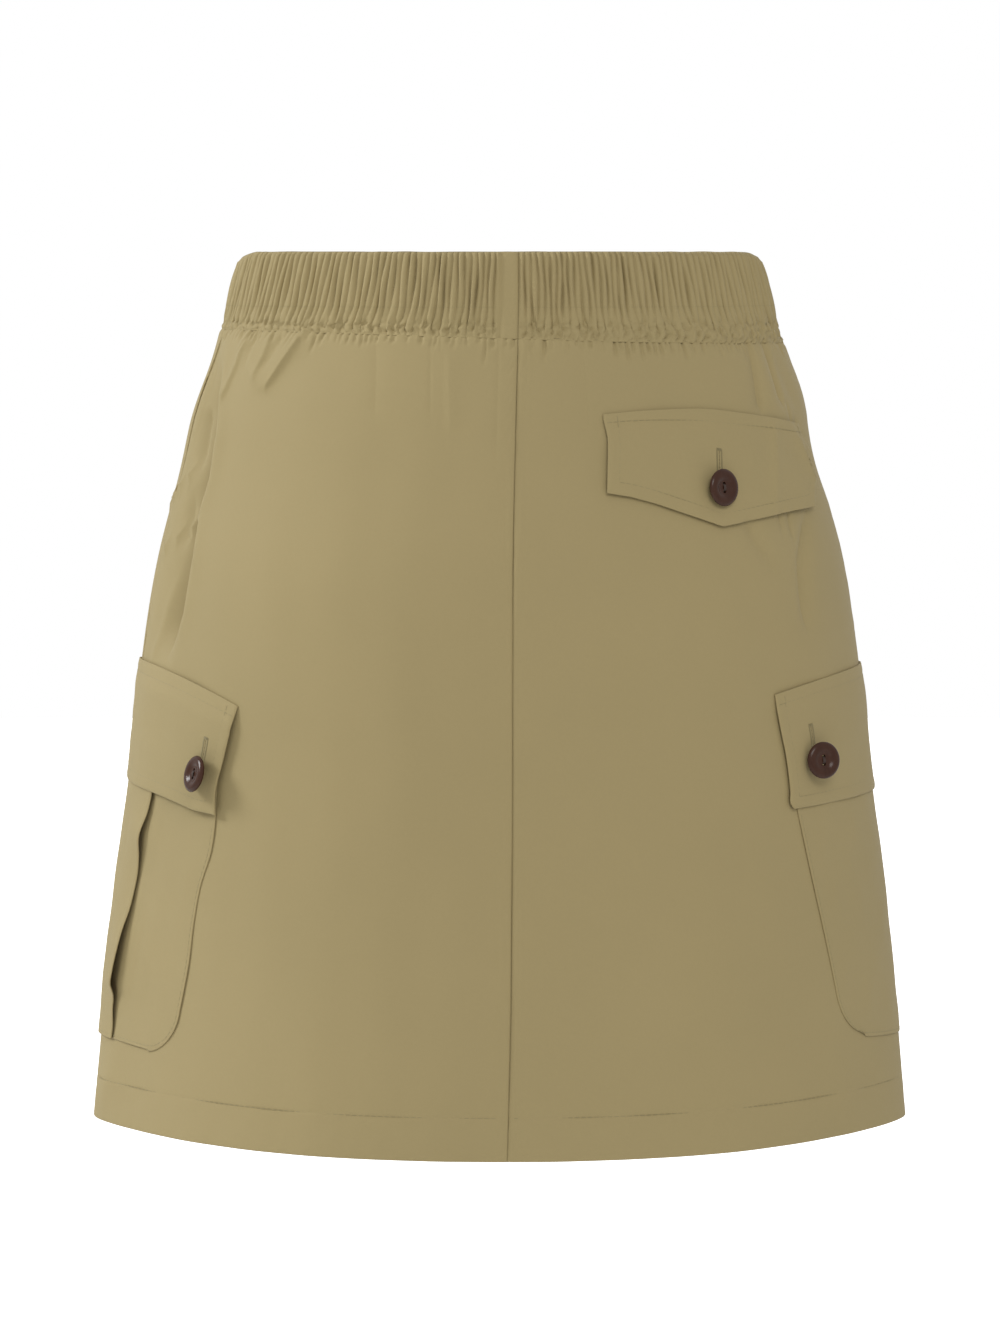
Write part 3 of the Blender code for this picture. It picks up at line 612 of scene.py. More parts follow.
# ---------------------------------------------------------------- panels
SEAM_ROUND = 0.9 * MM  # how far the cloth curves in beside a seam
SEAM_DEPTH = 0.5 * MM
SEAM_OPENING = 12 * MM  # up from the hem, a seam opens to its gap over this
SIDE_SEAM_CLOSER = 0.6  # the side seams' gaps are narrower by this share
SIDE_SEAM_FLATTER = 0.5
HEM_STITCH = HEM_HEIGHT - 1 * MM  # above the hem's lower edge
HEM_GROOVE = 0.07 * MM  # how deep the hem's stitching sinks
HEM_ROUND = 2 * MM  # above the hem's lower edge, how far its fold is round
HEM_SLACK = 0.1 * MM  # between the hem's layers
TUCK = 1.0 * MM  # the panels' tops go this far up behind the waistband
TUCK_DEPTH = 1.1 * MM
ALLOWANCE = 10 * MM
CLOSE_COLUMNS = 0.2  # a panel's columns are closer at its seams by this share

# Rows of a panel's grid: those beside the hem's stitching, and those down from the waist,
# first a step for the puckers, then wider ones that grow up to the two others.
STITCHING_ROWS = np.array([-1.6, -0.8, -0.35, 0, 0.35, 0.8, 1.6]) * MM
PUCKERED = 30 * MM
PUCKERED_STEP = 0.85 * MM
STEP_GROWTH = 1.12
CREASED = 165 * MM
CREASED_STEP = 5 * MM
PLAIN_STEP = 12 * MM

HEM_ROPE = Unevenness(5, 14 * MM, 3, 0.10 * MM)
SEAM_PULL = Unevenness(7, 11 * MM, 4, 0.13 * MM)
PANEL_DRAPE = Unevenness(9, 46 * MM, 0.45, 0.28 * MM)


def rows_below_waist(total):
    """Shares of the way from the hem's stitching to the waist, close together in the puckers."""
    places, step = [0.0], PUCKERED_STEP
    while places[-1] < total:
        places.append(places[-1] + step)
        if places[-1] > PUCKERED:
            step = min(STEP_GROWTH * step, CREASED_STEP if places[-1] < CREASED else PLAIN_STEP)
    return 1 - np.array(places[:-1][::-1]) / total


def panel_rows():
    """Each row's height above the hem, share of the way from its stitching to the waist, and
    lift: up the inside of the hem to its fold, then up the outside."""
    half = bpy.context.scene.skirt_cloth.thickness + HEM_SLACK
    inner = np.linspace(HEM_HEIGHT, HEM_ROUND, 7)
    turn = np.linspace(math.pi, 0, 7)
    outer = np.linspace(HEM_ROUND, HEM_STITCH - 2.5 * MM, 6)
    near = HEM_STITCH + STITCHING_ROWS
    shares = rows_below_waist(LENGTH - HEM_HEIGHT - BAND_HEIGHT)
    height = [inner, half * (1 - np.sin(turn)), outer, near, np.full(len(shares), near[-1])]
    lift = [0 * inner - 2 * half, half * (np.cos(turn) - 1), 0 * outer, 0 * near, 0 * shares]
    share = [0 * inner, 0 * turn, 0 * outer, 0 * near, shares]
    return np.concatenate(height), np.concatenate(share), np.concatenate(lift)


# Puckers run down from the waist seam. The longer ones have their places, in millimetres:
# across, how long, how far the foot leans, half width and depth.
PUCKERS = {
    "back": [
        (-146, 13, -5, 1.3, 0.75), (-139, 9, -4, 1.0, 0.62), (-117, 9, -2, 0.9, 0.75),
        (-113.5, 7, -2, 0.9, 0.62), (-101.5, 12, -1, 1.1, 0.88), (-87.5, 6, 0, 0.9, 0.62),
        (-70, 5, 0, 0.8, 0.44), (-15.4, 14, 0, 0.8, 0.75), (12.7, 12, -1, 0.9, 0.75),
        (30, 5, 0, 0.8, 0.5), (46.8, 9, 0, 1.0, 1.22), (49.8, 6, 0, 0.9, 0.94),
        (52.6, 11, 1, 1.1, 1.35), (56, 7, 0, 0.9, 1.08), (60, 10, 1, 1.0, 1.22),
        (63.5, 6, 1, 0.9, 0.94), (67, 8, 1, 0.9, 1.08), (70.4, 8, 1, 0.9, 1.08),
        (76, 7, 1, 0.9, 0.94), (83, 10, 1, 1.0, 1.22), (104, 9, 2, 1.0, 0.62),
        (121, 10, 3, 1.0, 0.69), (139, 11, 4, 1.1, 0.75), (158, 10, 4, 1.0, 0.62),
    ],
    "front": [
        (-148, 12, -4, 1.2, 0.75), (-112, 9, -2, 1.0, 0.69), (-74, 7, -1, 0.9, 0.62),
        (-31, 12, 0, 0.9, 0.69), (8, 8, 0, 0.8, 0.62), (43, 10, 1, 1.0, 0.69),
        (88, 7, 1, 0.9, 0.62), (126, 10, 3, 1.0, 0.75),
    ],
}
# The short ones are many: their lengths, half widths, depths and slants are drawn from these.
SHORT_PUCKERS = 230
SHORT_SIZES = [(2.5 * MM, 8 * MM), (0.7 * MM, 1.2 * MM), (0.2 * MM, 1.0 * MM), (-0.2, 0.2)]
PUCKER_REACH = 24 * MM  # no pucker is longer
PUCKER_HEAD = 0.7  # share of its width that a pucker has at the waist
PUCKER_WIDENING = 0.5  # and how much more at its foot
PUCKER_HOLD = 1.7  # the higher, the longer it keeps its depth


def all_puckers():
    """Each pucker's middle as a way, its length, half width, depth and slant."""
    centres = {
        "back": (0.25, -2 * back_length(BAND_HEIGHT)),
        "front": (0.75, 2 * front_length(BAND_HEIGHT)),
    }
    puckers = []
    for side, (centre, around) in centres.items():
        for across, length, lean, half_width, depth in PUCKERS[side]:
            sizes = length * MM, half_width * MM, depth * MM, -lean / length
            puckers.append((centre + across * MM / around, *sizes))
    draw = np.random.default_rng(11)
    for k in range(SHORT_PUCKERS):
        middle = (k + draw.uniform(-0.5, 0.5)) / SHORT_PUCKERS
        sizes = [draw.uniform(*ends) for ends in SHORT_SIZES]
        puckers.append((middle, *sizes))
    return puckers


def waist_puckers(way, below):
    """How deep the puckers are at this way and this far below the waist seam."""
    total = np.zeros(len(way))
    near = np.flatnonzero((below < PUCKER_REACH) & (below > -2 * TUCK))
    here, down = way[near], below[near]
    around = back_length(BAND_HEIGHT) + front_length(BAND_HEIGHT)
    for middle, length, half_width, depth, slant in all_puckers():
        away = (here - middle + 0.5) % 1 - 0.5
        away = away * around - slant * down
        half_width = half_width * (PUCKER_HEAD + PUCKER_WIDENING * down / length)
        total[near] += depth * bump(away, half_width) * ease(PUCKER_HOLD * (1 - down / length))
    return total


def panel_unevenness(across, from_seam, drop, below):
    """Height of a panel's hem rope, of the pull along its seams and of its soft drape."""
    above_hem = LENGTH - drop
    rope = uneven(HEM_ROPE, across, above_hem) * bump(above_hem - HEM_HEIGHT / 2, 13 * MM)
    pull = uneven(SEAM_PULL, drop, across) * bump(from_seam, 5 * MM)
    return rope + pull + uneven(PANEL_DRAPE, across, drop) * ease(below / (30 * MM))


def add_panel(name, node, start, end, columns):
    """A panel between two seams, whose ways are start and end, left to right from outside."""
    settings = bpy.context.scene.skirt_cloth
    height, share, row_lift = panel_rows()
    u = np.linspace(0, 1, columns)
    spread = u - CLOSE_COLUMNS * np.sin(TURN * u) / TURN
    part = abs(end - start)
    side_length = back_length if (start + end) / 2 < 0.5 else front_length

    def place(i, j):
        s = spread[i]
        way = start + (end - start) * s
        at_side = sideness(way)
        top = band_bottom(way) - TUCK
        hem_top = LENGTH - height[j]
        drop = hem_top + (top - hem_top) * share[j]
        whole = 2 * part * side_length(drop)
        across = s * whole
        from_seam = np.minimum(across, whole - across)
        above_hem = LENGTH - drop
        below = drop - top - TUCK
        outside = row_lift[j] == 0

        opening = ease((above_hem - HEM_HEIGHT - 1.5 * MM) / SEAM_OPENING)
        gap = SEAM_GAP * (1 - SIDE_SEAM_CLOSER * at_side) * opening
        way = way + np.sign(end - start) * (0.5 - s) * gap / whole * part

        seam_depth = SEAM_DEPTH * (1 - SIDE_SEAM_FLATTER * at_side)
        lift = row_lift[j] - seam_depth * bump(from_seam, SEAM_ROUND)
        lift -= TUCK_DEPTH * bump(np.maximum(below + TUCK, 0), (1.0 + 0.7 * at_side) * MM)
        lift -= outside * waist_puckers(way % 1, below)
        lift -= outside * HEM_GROOVE * bump(above_hem - HEM_STITCH, 0.7 * MM)
        lift += panel_unevenness(across, from_seam, drop, below)
        return surface(way, drop, lift), np.stack([across, -drop], -1)

    piece = cloth_grid(name, columns, len(height), place)
    give_wall(piece, settings.thickness)
    finish_piece(piece, cotton(), [node])
    middle = (LENGTH + BAND_HEIGHT) / 2
    widths = [2 * part * side_length(d) for d in (BAND_HEIGHT, middle, LENGTH)]


ALLOWANCE_COLUMNS, ALLOWANCE_ROWS = 6, 90
ALLOWANCE_PAST = 1.5 * MM  # the allowances begin this far on the seam's other side
ALLOWANCE_BEHIND = 0.45 * MM  # between them and the panel
ALLOWANCE_RIPPLE = Unevenness(51, 17 * MM, 3, 0.25 * MM)
HIGHEST_RIPPLE = 0.1 * MM


def add_seam_allowance(name, side):
    """The two panels' seam allowances, sewn together and pressed to one side, inside."""
    settings = bpy.context.scene.skirt_cloth
    across = np.linspace(-ALLOWANCE_PAST, ALLOWANCE - ALLOWANCE_PAST, ALLOWANCE_COLUMNS)
    first, last = LENGTH - HEM_HEIGHT + 2 * MM, BAND_HEIGHT + 0.8 * MM

    def place(i, j):
        drop = first + (last - first) * j / (ALLOWANCE_ROWS - 1)
        aside = across[i]
        if side == 0:
            way = 0.25 - aside / (2 * back_length(drop))
        else:
            way = way_at(side, side * aside, drop)
        ripple = uneven(ALLOWANCE_RIPPLE, drop, aside, side) * ease(aside / ALLOWANCE)
        lift = -settings.thickness - ALLOWANCE_BEHIND + np.minimum(ripple, HIGHEST_RIPPLE)
        return surface(way, drop, lift), np.stack([aside, -drop], -1)

    piece = cloth_grid(name, ALLOWANCE_COLUMNS, ALLOWANCE_ROWS, place)
    give_wall(piece, settings.thickness)
    finish_piece(piece, cotton())


# ---------------------------------------------------------------- waistband
HALF_GATHERS = 2 * GATHERS  # troughs and crests by turns, counted from the centre back seam
TROUGH_COLUMNS = [0.0, 0.17, 0.5]  # columns from a trough towards the crest beside it
TROUGH_POWER = 0.85  # the smaller, the sharper the troughs
GATHER_DEPTH = 3.3 * MM  # trough to crest, as deep as it could get
SIDE_SPREAD = 0.13  # the gathers are wider at the sides and closer at the back by this share
SPLIT_DROP = 27 * MM  # below this each gather splits in two
SPLIT_DEPTH = 0.9 * MM
SPLIT_LEAN = 0.3
ELASTIC_FOOT = 2.42  # where the casing is sewn, among the section's points
OUTER_POINTS = 4.5  # the section's points before this are on the outside
FULLNESS = 1.15  # the strip's length before it is gathered

JOIN_COLUMNS = 7
JOIN_RISE = 0.25 * MM  # the flat join stands out by this
JOIN_FADE = 1.5  # half gathers, over which the gathers rise beside the join
JOIN_GROOVE = 0.5 * MM  # along the flat join's inner edge
JOIN_GROOVE_WIDTH = 0.7 * MM

WAY_PER_METRE = 1 / (2 * back_length(BAND_HEIGHT))
BAND_START = BAND_GAP / 2 * WAY_PER_METRE
BAND_END = 1 - BAND_GAP / 2 * WAY_PER_METRE
JOIN_START = BAND_END - FLAT_JOIN * WAY_PER_METRE

# Rows of the waistband's grid: in which stretches of its section, and how many in each.
BAND_ROWS = [(0, 0.5, 4), (0.5, 2, 8), (2, 4, 14), (4, 6, 6), (6, 7, 5)]
# The cloth's length up to some of the section's points.
BAND_CLOTH = [
    (0, 0),
    (2, BAND_HEIGHT - ELASTIC_HEIGHT),
    (5, BAND_HEIGHT),
    (7, 2 * BAND_HEIGHT),
]

# Waves that make each gather unlike the next: radians from one half gather to the next, the
# length down the band, the phase and the height.
GatherWave = namedtuple("GatherWave", "rate length phase height")
SLOW_STRAY = GatherWave(0.37, 70 * MM, 0, 0.4 * MM)
QUICK_STRAY = GatherWave(0.93, -33 * MM, 1.3, 0.22 * MM)
CREST_WAVE = GatherWave(1.13, 61 * MM, 0, 0.14)
CREST = 0.26  # heights, as shares of a gather's depth
SHALLOWEST_TROUGH = 0.16
TROUGH_DEEPENING = 0.42
ELASTIC_PINCH = 0.8 * MM  # how far the gathers stray under the elastic

# Along the waist seam run a groove, a cord and a groove: how far up from it, half width,
# height over the middle and how much more towards the sides, in millimetres.
WaistLine = namedtuple("WaistLine", "up half_width height at_side")
WAIST_LINES = [
    WaistLine(0, 0.9, -0.1, -0.35),
    WaistLine(1.7, 0.8, 0, 0.3),
    WaistLine(3.4, 0.9, 0, -0.25),
]

# The frill under the elastic is crumpled by two sets of waves that lean against each other.
FrillWave = namedtuple("FrillWave", "seed scale lean")
FRILL_WAVES = [FrillWave(31, 3.4 * MM, 0.6), FrillWave(32, 4.1 * MM, -0.7)]
CRUMPLE = 1.15 * MM
DEEPEST_CRUMPLE = 1.1  # of that

# The upper edge is a little uneven: how far it sinks, and by how much more or less.
EDGE_SINK = 0.5 * MM
EDGE_WAVES = 0.12 * MM


def gather_wave(wave, k, drop):
    return wave.height * np.sin(wave.rate * k + wave.phase + TURN * drop / wave.length)


def gather_wander(k, drop):
    """How far the k-th half gather strays sideways at a drop."""
    pinch = np.sin(2.4 * k) * bump(drop - ELASTIC_HEIGHT - 2 * MM, 3.2 * MM)
    waves = gather_wave(SLOW_STRAY, k, drop) + gather_wave(QUICK_STRAY, k, drop)
    return waves + ELASTIC_PINCH * pinch


def gather_height(k, drop):
    """Height of the crest or trough at half gather k, uneven round and down the band."""
    fading = (44 + 19 * np.sin(1.7 * k)) * MM
    lasting = 0.5 + 0.5 * np.sin(2.399 * k + TURN * drop / fading)
    unlike = (0.7 + 0.3 * np.sin(0.61 * k)) * (1 + 0.35 * np.sin(1.9 * k))
    trough = -(SHALLOWEST_TROUGH + TROUGH_DEEPENING * lasting * unlike)
    crest = CREST + gather_wave(CREST_WAVE, k, drop)
    split = SPLIT_DEPTH / GATHER_DEPTH * (0.6 + 0.4 * np.sin(3.1 * k))
    crest = crest - split * ease((drop - SPLIT_DROP) / (5 * MM))
    return np.where(np.mod(k, 2) == 0, trough, crest) * GATHER_DEPTH


def gathers(g, drop):
    """Height of the gathers between their troughs and crests."""
    k = np.minimum(np.floor(g), HALF_GATHERS)
    f = np.minimum(g, HALF_GATHERS) - k
    here, after = gather_height(k, drop), gather_height(k + 1, drop)
    from_trough = np.where(k % 2 == 0, f, 1 - f)
    climb = np.sin(math.pi / 2 * from_trough**TROUGH_POWER)
    climb = np.where(k % 2 == 0, climb, 1 - climb)
    return here + (after - here) * climb


def frill_crumple(around, drop, up):
    """How deep the frill is crumpled, this far up from the waist seam."""
    total = np.zeros(np.shape(around))
    for wave in FRILL_WAVES:
        total = total + np.maximum(-drift(around + wave.lean * drop, drop, wave.seed, wave.scale), 0)
    on_frill = ease((drop - ELASTIC_HEIGHT + 2 * MM) / (3 * MM)) * ease(up / (2 * MM))
    return CRUMPLE * np.minimum(total, DEEPEST_CRUMPLE) * on_frill


def band_share(g):
    """How far half gather g is from the centre back seam, as a share of the waistband."""
    share = np.minimum(g, HALF_GATHERS) / HALF_GATHERS
    share = share - SIDE_SPREAD * np.sin(2 * TURN * share) / (2 * TURN)
    share = BAND_START + (JOIN_START - BAND_START) * share
    return share + (BAND_END - JOIN_START) * np.maximum(g - HALF_GATHERS, 0)


def band_drop(position, bottom):
    """Drop of a place in the section, where the waist seam's drop is bottom."""
    levels = []
    for point in BAND_SECTION:
        if point.part == "frill":
            levels.append(bottom * (1 - point.height) + ELASTIC_HEIGHT * point.height)
        else:
            levels.append(ELASTIC_HEIGHT * (1 - point.height) + 0 * bottom)
    levels = np.array(levels)
    i = np.clip(np.floor(position).astype(int), 0, len(BAND_SECTION) - 2)
    each = np.arange(np.size(bottom))
    before, after = levels[i, each], levels[i + 1, each]
    return before + (after - before) * (position - i)


def band_surface(g, position, extra=0.0):
    """Points of the waistband. g counts half gathers from the centre back seam round by the
    wearer's right, and its last unit is the flat join. position counts the section's points."""
    share = band_share(g)
    way = 0.25 - share
    side = sideness(way)
    bottom = band_bottom(way)
    drop = band_drop(position, bottom)
    up = bottom - drop
    places = np.arange(len(BAND_SECTION))
    inside = hermite(position, places, [p.inside for p in BAND_SECTION])
    gather = hermite(position, places, [p.gather for p in BAND_SECTION])
    outer = position < OUTER_POINTS
    risen = ease(np.minimum(g, HALF_GATHERS - np.minimum(g, HALF_GATHERS)) / JOIN_FADE)

    rise = np.where(g > HALF_GATHERS, JOIN_RISE, gathers(g, drop) * risen)
    lift = rise * gather - inside * BAND_THICKNESS + extra
    for line in WAIST_LINES:
        height = (line.height + line.at_side * side) * MM
        lift += (position < 2) * height * bump(up - line.up * MM, line.half_width * MM)
    lift -= outer * risen * frill_crumple(share / WAY_PER_METRE, drop, up)
    from_end = np.minimum(share - BAND_START, BAND_END - share) / WAY_PER_METRE
    lift -= outer * SEAM_DEPTH * bump(from_end, SEAM_ROUND)
    lift -= outer * JOIN_GROOVE * bump((share - JOIN_START) / WAY_PER_METRE, JOIN_GROOVE_WIDTH)

    lean = SPLIT_LEAN * np.sin(TURN * (way - 0.25)) * np.maximum(drop - SPLIT_DROP, 0)
    wander = gather_wander(g, drop) * risen * np.clip(1.2 * gather, 0.2, 1)
    wander = wander + lean * risen * outer * ease(up / (4 * MM))
    points = surface(way + wander * WAY_PER_METRE, drop, lift)
    waves = EDGE_WAVES * np.sin(14 * share * TURN + 2 * np.sin(9 * TURN * share))
    above = np.clip(1 - drop / ELASTIC_HEIGHT, 0, 1) ** 3
    points[:, 2] -= (side_dip(points[:, 0]) + EDGE_SINK + waves) * above
    return points, share / WAY_PER_METRE


def add_waistband():
    """The gathered strip: up the outside of the elastic, over it and down the inside."""
    settings = bpy.context.scene.skirt_cloth
    last = BAND_ROWS[-1][1]
    rows = np.concatenate([np.linspace(a, b, n, endpoint=b == last) for a, b, n in BAND_ROWS])
    troughs = 2.0 * np.arange(GATHERS)
    beside = [sides for c in TROUGH_COLUMNS for sides in (troughs + c, troughs + 2 - c)]
    join = HALF_GATHERS + np.linspace(0, 1, JOIN_COLUMNS + 1)
    columns = np.unique(np.round(np.concatenate([*beside, troughs + 1, join]), 6))

    def place(i, j):
        points, along = band_surface(columns[i], rows[j])
        return points, np.stack([FULLNESS * along, np.interp(rows[j], *zip(*BAND_CLOTH))], -1)

    piece = cloth_grid("cloth_waistband", len(columns), len(rows), place)
    give_wall(piece, settings.thickness, even=False)
    finish_piece(piece, cotton(), ["waistband"])


# ---------------------------------------------------------------- pockets and flaps
PLEAT = (4, 52)  # where the pocket's columns are close, in millimetres from its middle
PLEAT_STEP, PLAIN_POCKET_STEP = 1.6, 4.5
SIDE_COLUMNS = np.array([0.5, 1.0, 1.6, 2.2, 3.0])  # millimetres inside the pocket's sides
BASE_ROWS = np.array([0, 0.5, 1.0, 1.6, 2.2, 3.0, 4.2, 5.6]) * MM  # above its base
POCKET_ROLL = 1.6 * MM  # its edge rolls down over this
POCKET_SINK = 0.85 * MM  # flat cloth is this much closer to the panel than the section says
POCKET_EDGE = 0.2  # but for this share of that, along its edges
POCKET_GROOVE = 0.06 * MM
POCKET_THIN = 70 * MM  # up to here above its base, the pleat's layers lie closer together
PANEL_CLEARANCE = 0.15 * MM
POCKET_SOFT = Unevenness(21, 38 * MM, 1, 0.25 * MM)


def edge_roll(distance, full, resting):
    """Lift of a turned edge that comes down to resting at the very edge."""
    return resting + (full - resting) * np.sqrt(ease(distance / POCKET_ROLL))


def pocket_profile():
    """The pocket's section as many close points, its folds rounded."""
    points = np.array(POCKET_SECTION, float)
    dense = [points[0]]
    for first, second in zip(points, points[1:]):
        near_pleat = PLEAT[0] < (first[0] + second[0]) / 2 < PLEAT[1]
        step = PLEAT_STEP if near_pleat else PLAIN_POCKET_STEP
        count = max(1, round(np.linalg.norm((second - first)[:2]) / step))
        dense += [first + (second - first) * k / count for k in range(1, count + 1)]
    rounded = [dense[0]]
    for first, second in zip(dense, dense[1:]):
        rounded += [0.75 * first + 0.25 * second, 0.25 * first + 0.75 * second]
    return np.array([*rounded, dense[-1]])


def edge_columns(profile):
    """The profile with close columns at the pocket's two sides, for its rolled edge."""
    first, last = profile[0], profile[-1]
    left = np.array([[first[0] + n, first[1], 0] for n in SIDE_COLUMNS])
    right = np.array([[last[0] - n, last[1], 0] for n in SIDE_COLUMNS[::-1]])
    margin = SIDE_COLUMNS[-1] + 0.5
    inner = (profile[:, 0] > first[0] + margin) & (profile[:, 0] < last[0] - margin)
    return np.vstack([first, left, profile[inner], right, last])


def pocket_rows():
    """Each row's height above the pocket's base, and its share of the way from the corners to
    the mouth."""
    corner = np.linspace(7 * MM, POCKET_CORNER, 10)
    shares = np.linspace(0, 1, 60)[1:]
    height = np.concatenate([BASE_ROWS, corner, 0 * shares + POCKET_CORNER])
    return height, np.concatenate([0 * BASE_ROWS, 0 * corner, shares])


def strayed(back, reach, strays, place):
    """How far behind the seam this lies once the side edges have strayed."""
    stray = MM * hermite(place, *zip(*strays))
    return back + np.sign(back) * stray * np.abs(back / reach) ** 3


def edge_drop(level, fall, back):
    """Drop of an edge that falls on a soft curve from the side seam to both flap ends."""
    return (level + fall * (back / FLAP_REACH) ** 2) * MM


def pocket_ends(pocket, back):
    """Drops of the pocket's mouth and of its base."""
    mouth = edge_drop(pocket.flap_top, pocket.top_fall, back) + POCKET_MOUTH
    return mouth, edge_drop(pocket.base, pocket.base_fall, back)


def round_corners(back, above):
    """Draws the pocket's sides in round its lower corners. Gives how far behind the seam this
    puts each point, and how far inside the pocket's edge."""
    straight = POCKET_REACH - POCKET_CORNER
    over = np.maximum(np.abs(back) - straight, 0)
    sunk = np.clip(POCKET_CORNER - above, 0, POCKET_CORNER)
    reach = np.sqrt(np.maximum(POCKET_CORNER**2 - sunk**2, 0)) / POCKET_CORNER
    over = over * np.maximum(reach, CORNER_FOOT)
    back = np.sign(back) * (np.minimum(np.abs(back), straight) + over)
    past = np.maximum(np.abs(back) - straight, 0)
    from_corner = np.where(past > 0, POCKET_CORNER - np.hypot(past, sunk), above)
    from_side = np.where(sunk > 0, from_corner, POCKET_REACH - np.abs(back))
    return back, np.clip(np.minimum(from_side, above), 0, None)


def pocket_surface(pocket, across, section_lift, gape_share, above):
    """Points of a cargo pocket: across from its middle, above its base."""
    inset = bpy.context.scene.skirt_sewing.pocket_inset
    resting = bpy.context.scene.skirt_cloth.thickness + PANEL_CLEARANCE
    back = -pocket.side * across
    mouth, base = pocket_ends(pocket, back)
    drop = base - above
    back, from_edge = round_corners(back, above)
    gape = np.maximum(hermite((drop - mouth) / MM, *zip(*GAPES)), 0)
    lift = (section_lift + gape * gape_share) * MM
    flat = ease((1.8 - section_lift) / 0.3)
    lift = lift - POCKET_SINK * flat * (1 - POCKET_EDGE * bump(from_edge, 5 * MM))
    lift = np.where(section_lift < 1.6, edge_roll(from_edge, lift, resting), lift)
    lift = lift - POCKET_GROOVE * flat * bump(from_edge - inset, 0.6 * MM)
    layers = 0.75 * np.maximum(section_lift - 1.5, 0) * MM
    lift = lift - (1 - ease(above / POCKET_THIN)) * layers
    soft = uneven(POCKET_SOFT, 1.4 * back, drop, pocket.side) * ease(from_edge / (14 * MM))
    lift = lift + np.maximum(soft, -POCKET_SOFT.height / 2)
    back = strayed(back, POCKET_REACH, POCKET_STRAYS[pocket.name], drop / MM)
    return surface(way_at(pocket.side, back, drop), drop, lift), drop


def add_cargo_pocket(pocket):
    """A cargo pocket, wrapped over its side seam, with one pleat."""
    settings = bpy.context.scene.skirt_cloth
    profile = edge_columns(pocket_profile())
    cloth_along = np.cumsum(np.hypot(*np.diff(profile[:, :2], axis=0).T))
    cloth_along = np.concatenate([[0], cloth_along]) * MM
    row_height, row_share = pocket_rows()

    def place(i, j):
        across = profile[i, 0] * MM
        mouth, base = pocket_ends(pocket, -pocket.side * across)
        above = row_height[j] + row_share[j] * (base - mouth - POCKET_CORNER)
        points, drop = pocket_surface(pocket, across, profile[i, 1], profile[i, 2], above)
        return points, np.stack([cloth_along[i], -drop], -1)

    piece = cloth_grid(f"cloth_pocket_{pocket.name}", len(profile), len(row_height), place)
    give_wall(piece, settings.thickness, even=False)
    finish_piece(piece, cotton(), [f"cargo_pocket_{pocket.name}"])


FLAP_EDGE = 0.38 * MM  # how far a flap's free edge rolls down
FLAP_ROLL = 1.4 * MM  # over this
FLAP_GROOVE = 0.2 * MM  # along the stitching
FLAP_PAD = 0.12 * MM  # between the stitching and the edge
CARGO_FLAP_SOFT = Unevenness(31, 30 * MM, 1.5, 0.22 * MM)
BACK_FLAP_SOFT = Unevenness(41, 28 * MM, 1.5, 0.2 * MM)
CARGO_FLAP_GRID = (96, 34)  # columns and rows between the close ones
BACK_FLAP_GRID = (64, 28)
CLOSE_TO_END = np.array([0, 0.3, 0.7, 1.1, 1.6, 2.4]) * MM  # a flap's columns and rows
NEXT_TO_END = 3.4 * MM
# The back flap's inner end leans in towards its upper corner, and its outer end bulges.
LEAN_REACH = 30 * MM
TOP_LEAN = 2.4 * MM


def flap_finish(lift, from_edge, from_top):
    """A flap's face near its edges: rolled free edges, and a groove along the stitching."""
    inset = bpy.context.scene.skirt_sewing.inset
    nearest = np.minimum(from_edge, from_top)
    lift = lift - FLAP_EDGE * (1 - np.sqrt(ease(from_edge / FLAP_ROLL)))
    lift = lift - FLAP_GROOVE * bump(nearest - inset, 0.8 * MM)
    return lift + FLAP_PAD * bump(nearest - 0.55 * inset, 1.8 * MM)


def flap_ends(pocket):
    """The flap's left and right ends, counted from the side seam."""
    rear = pocket.flap_rear * MM
    return (-rear, FLAP_REACH) if pocket.side > 0 else (-FLAP_REACH, rear)


def cargo_flap_surface(pocket, along, down, extra=0.0):
    """Points of a cargo flap's face: along from its middle, down as a share of its height."""
    back = -pocket.side * along
    top = edge_drop(pocket.flap_top, pocket.top_fall, back)
    bottom = edge_drop(pocket.flap_bottom, pocket.bottom_fall, back)
    near_end = ease((np.abs(back) - FLAP_CORNER_START) / FLAP_CORNER_REACH)
    bottom = bottom - FLAP_CORNER_RISE[pocket.name] * near_end
    height = bottom - top
    left, right = flap_ends(pocket)
    stand = MM * np.interp(along / MM, *zip(*FLAP_COLUMNS))
    risen = np.minimum(down / FLAP_RISEN, 1) + FLAP_FLARE * np.maximum(down - FLAP_RISEN, 0)
    thickness = bpy.context.scene.skirt_cloth.flap_thickness
    lift = thickness + FLAP_SEWN + (stand - FLAP_SEWN) * risen
    from_edge = np.minimum(np.minimum(along - left, right - along), (1 - down) * height)
    lift = flap_finish(lift, np.maximum(from_edge, 0), down * height + 0.4 * MM)
    soft = uneven(CARGO_FLAP_SOFT, along, down * height, pocket.side)
    lift = lift + soft * ease(3 * down) + extra
    drop = top + height * down
    back = strayed(back, FLAP_REACH, FLAP_STRAYS[pocket.name], down)
    return surface(way_at(pocket.side, back, drop), drop, lift)


def close_ends(count, length):
    """Places from 0 to 1 along this length, close together near both ends."""
    middle = np.linspace(NEXT_TO_END, length - NEXT_TO_END, count)
    return np.concatenate([CLOSE_TO_END, middle, length - CLOSE_TO_END[::-1]]) / length


